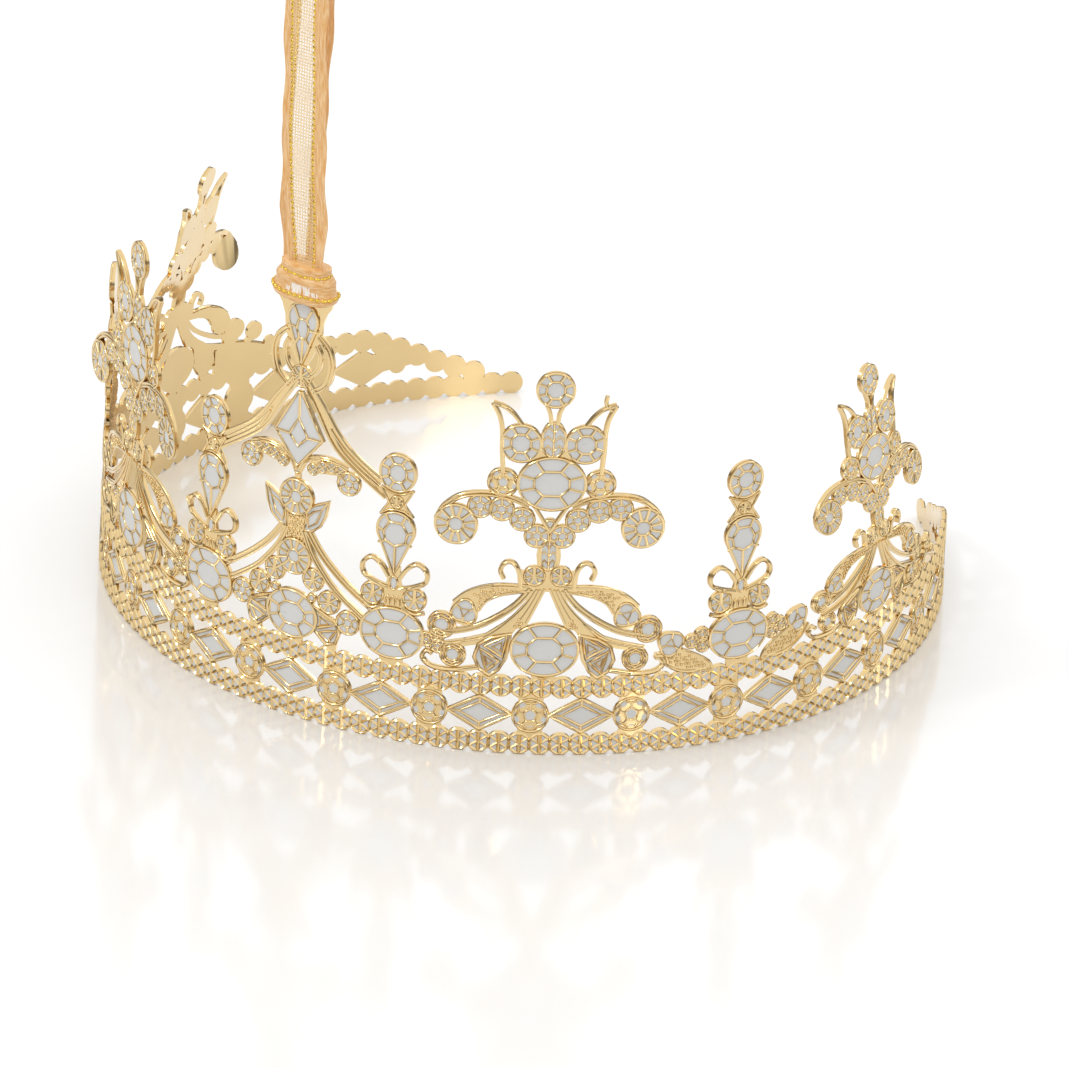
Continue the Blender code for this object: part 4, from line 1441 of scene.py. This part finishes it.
class CROWN_OT_ribbon(bpy.types.Operator):
    """Makes the hanging loop of ribbon and the knot that holds it to the tab"""

    bl_idname = "crown.ribbon"
    bl_label = "Ribbon"

    def execute(self, context):
        knot = make_piece("ribbon_knot_tied", ribbon_knot(), RIBBON_FINISHES, 50.0)
        loop = make_piece("ribbon_loop_hung", ribbon_strip(), RIBBON_FINISHES, 50.0)
        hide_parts("ribbon_knot")
        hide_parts("ribbon_loop")
        return {"FINISHED"}


class CROWN_OT_sheet(bpy.types.Operator):
    """Makes the etched sheet: one bent plate, with enamel in its small cells"""

    bl_idname = "crown.sheet"
    bl_label = "Etched sheet"

    def execute(self, context):
        plates = band().plates + fillers().plates
        for _, art in ornaments():
            plates += art.plates
        slot = block(HOLE[0], HOLE_HEIGHT - HOLE[1], HOLE_HEIGHT + HOLE[1])
        bm = plate_mesh(plates, 0.0, sizes().sheet, [slot])
        sheet = make_piece("gilt_sheet", bm, [gilt_brass, silver_white_enamel])
        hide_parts("etched_sheet")
        return {"FINISHED"}


class CROWN_OT_enamel(bpy.types.Operator):
    """Makes the enamel of the large gems, one piece for each ornament"""

    bl_idname = "crown.enamel"
    bl_label = "Gem enamel"

    def execute(self, context):
        for name, art in ornaments():
            plates = [(outline, False) for outline in art.gems]
            bm = plate_mesh(plates, sizes().sheet - GEM_ROOT, GEM_RISE + GEM_ROOT)
            piece = make_piece(f"gems_{name}", bm, [silver_white_enamel])
            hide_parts(*[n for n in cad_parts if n.startswith(f"enamel_{name}_")])
        return {"FINISHED"}


class CROWN_OT_relief(bpy.types.Operator):
    """Makes the raised gold lines and grains"""

    bl_idname = "crown.relief"
    bl_label = "Raised lines"

    def execute(self, context):
        beads = [line for s, z in rail_beads() for line in rail_bead(s, z).lines]
        relief_piece("rail_bead_lines", beads, 0)
        relief_piece("band_lines", band().lines)
        relief_piece("filler_lines", fillers().lines)
        for name, art in ornaments():
            relief_piece(f"lines_{name}", art.lines)
        seeds = fillers().grains
        for _, art in ornaments():
            seeds = seeds + art.grains
        bm = bmesh.new()
        for s, z, radius in seeds:
            made = bmesh.ops.create_icosphere(bm, subdivisions=1, radius=radius)
            bmesh.ops.translate(bm, vec=(s, 0, z), verts=made["verts"])
        bend_relief(bm.verts)
        make_piece("beaded_ground", bm, [gilt_brass], 80.0)
        return {"FINISHED"}


class CROWN_OT_stage(bpy.types.Operator):
    """Makes the white floor and the studio light"""

    bl_idname = "crown.stage"
    bl_label = "Stage"

    def execute(self, context):
        bm = bmesh.new()
        bmesh.ops.create_grid(bm, x_segments=1, y_segments=1, size=3.0)
        mesh = bpy.data.meshes.new("floor")
        bm.to_mesh(mesh)
        bm.free()
        floor = bpy.data.objects.new("floor", mesh)
        context.scene.collection.objects.link(floor)
        floor.location.z = -0.02 * MM
        material, tree, shader = new_material("glossy_white_floor")
        set_up(tree, shader, {
            "Base Color": rgba(linear("#EFEFEF")), "Roughness": 0.35,
            "Coat Weight": 1.0, "Coat IOR": 1.9, "Coat Roughness": 0.11,
        })
        mesh.materials.append(material)
        world = bpy.data.worlds.new("studio")
        world.use_nodes = True
        context.scene.world = world
        tree = world.node_tree
        place = add_node(tree, "ShaderNodeTexCoord")
        axes = add_node(tree, "ShaderNodeSeparateXYZ", None, {"Vector": place.outputs["Generated"]})
        sky = add_node(
            tree, "ShaderNodeMapRange",
            {"From Min": 0.1, "From Max": 0.34, "To Min": 0.18, "To Max": 1.15},
            {"Value": axes.outputs["Z"]},
        )  # a white tent above, open and dark round the horizon
        white = {"Color": rgba(linear("#FFFFFF"))}
        set_up(tree, tree.nodes["Background"], white, {"Strength": sky.outputs["Result"]})
        for name, place, size, power in LAMPS:
            data = bpy.data.lights.new(name, "AREA")
            data.size = size
            data.energy = power
            lamp = bpy.data.objects.new(name, data)
            context.scene.collection.objects.link(lamp)
            lamp.location = place
            lamp.rotation_euler = (Vector((0, 0, 0.03)) - Vector(place)).to_track_quat("-Z", "Y").to_euler()
        context.scene.view_settings.view_transform = "Standard"
        return {"FINISHED"}


class CROWN_PT_panel(bpy.types.Panel):
    """Lists the crown's steps in the 3D view's sidebar."""

    bl_idname = "CROWN_PT_panel"
    bl_label = "Crown"
    bl_space_type = "VIEW_3D"
    bl_region_type = "UI"
    bl_category = "Crown"

    def draw(self, context):
        for group in (context.scene.crown_sizes, context.scene.crown_colours):
            for name in group.bl_rna.properties.keys():
                if name not in ("name", "rna_type"):
                    self.layout.prop(group, name)
        for operator in OPERATORS:
            self.layout.operator(operator.bl_idname)


OPERATORS = (
    CROWN_OT_camera,
    CROWN_OT_ribbon,
    CROWN_OT_sheet,
    CROWN_OT_enamel,
    CROWN_OT_relief,
    CROWN_OT_stage,
)
CLASSES = (CrownSizes, CrownColours, *OPERATORS, CROWN_PT_panel)


def register():
    for cls in CLASSES:
        bpy.utils.register_class(cls)
    bpy.types.Scene.crown_sizes = bpy.props.PointerProperty(type=CrownSizes)
    bpy.types.Scene.crown_colours = bpy.props.PointerProperty(type=CrownColours)


def unregister():
    del bpy.types.Scene.crown_colours
    del bpy.types.Scene.crown_sizes
    for cls in reversed(CLASSES):
        bpy.utils.unregister_class(cls)


def main():
    register()
    bpy.ops.crown.camera()
    bpy.ops.crown.ribbon()
    bpy.ops.crown.sheet()
    bpy.ops.crown.enamel()
    bpy.ops.crown.relief()
    bpy.ops.crown.stage()


if __name__ == "__main__":
    main()
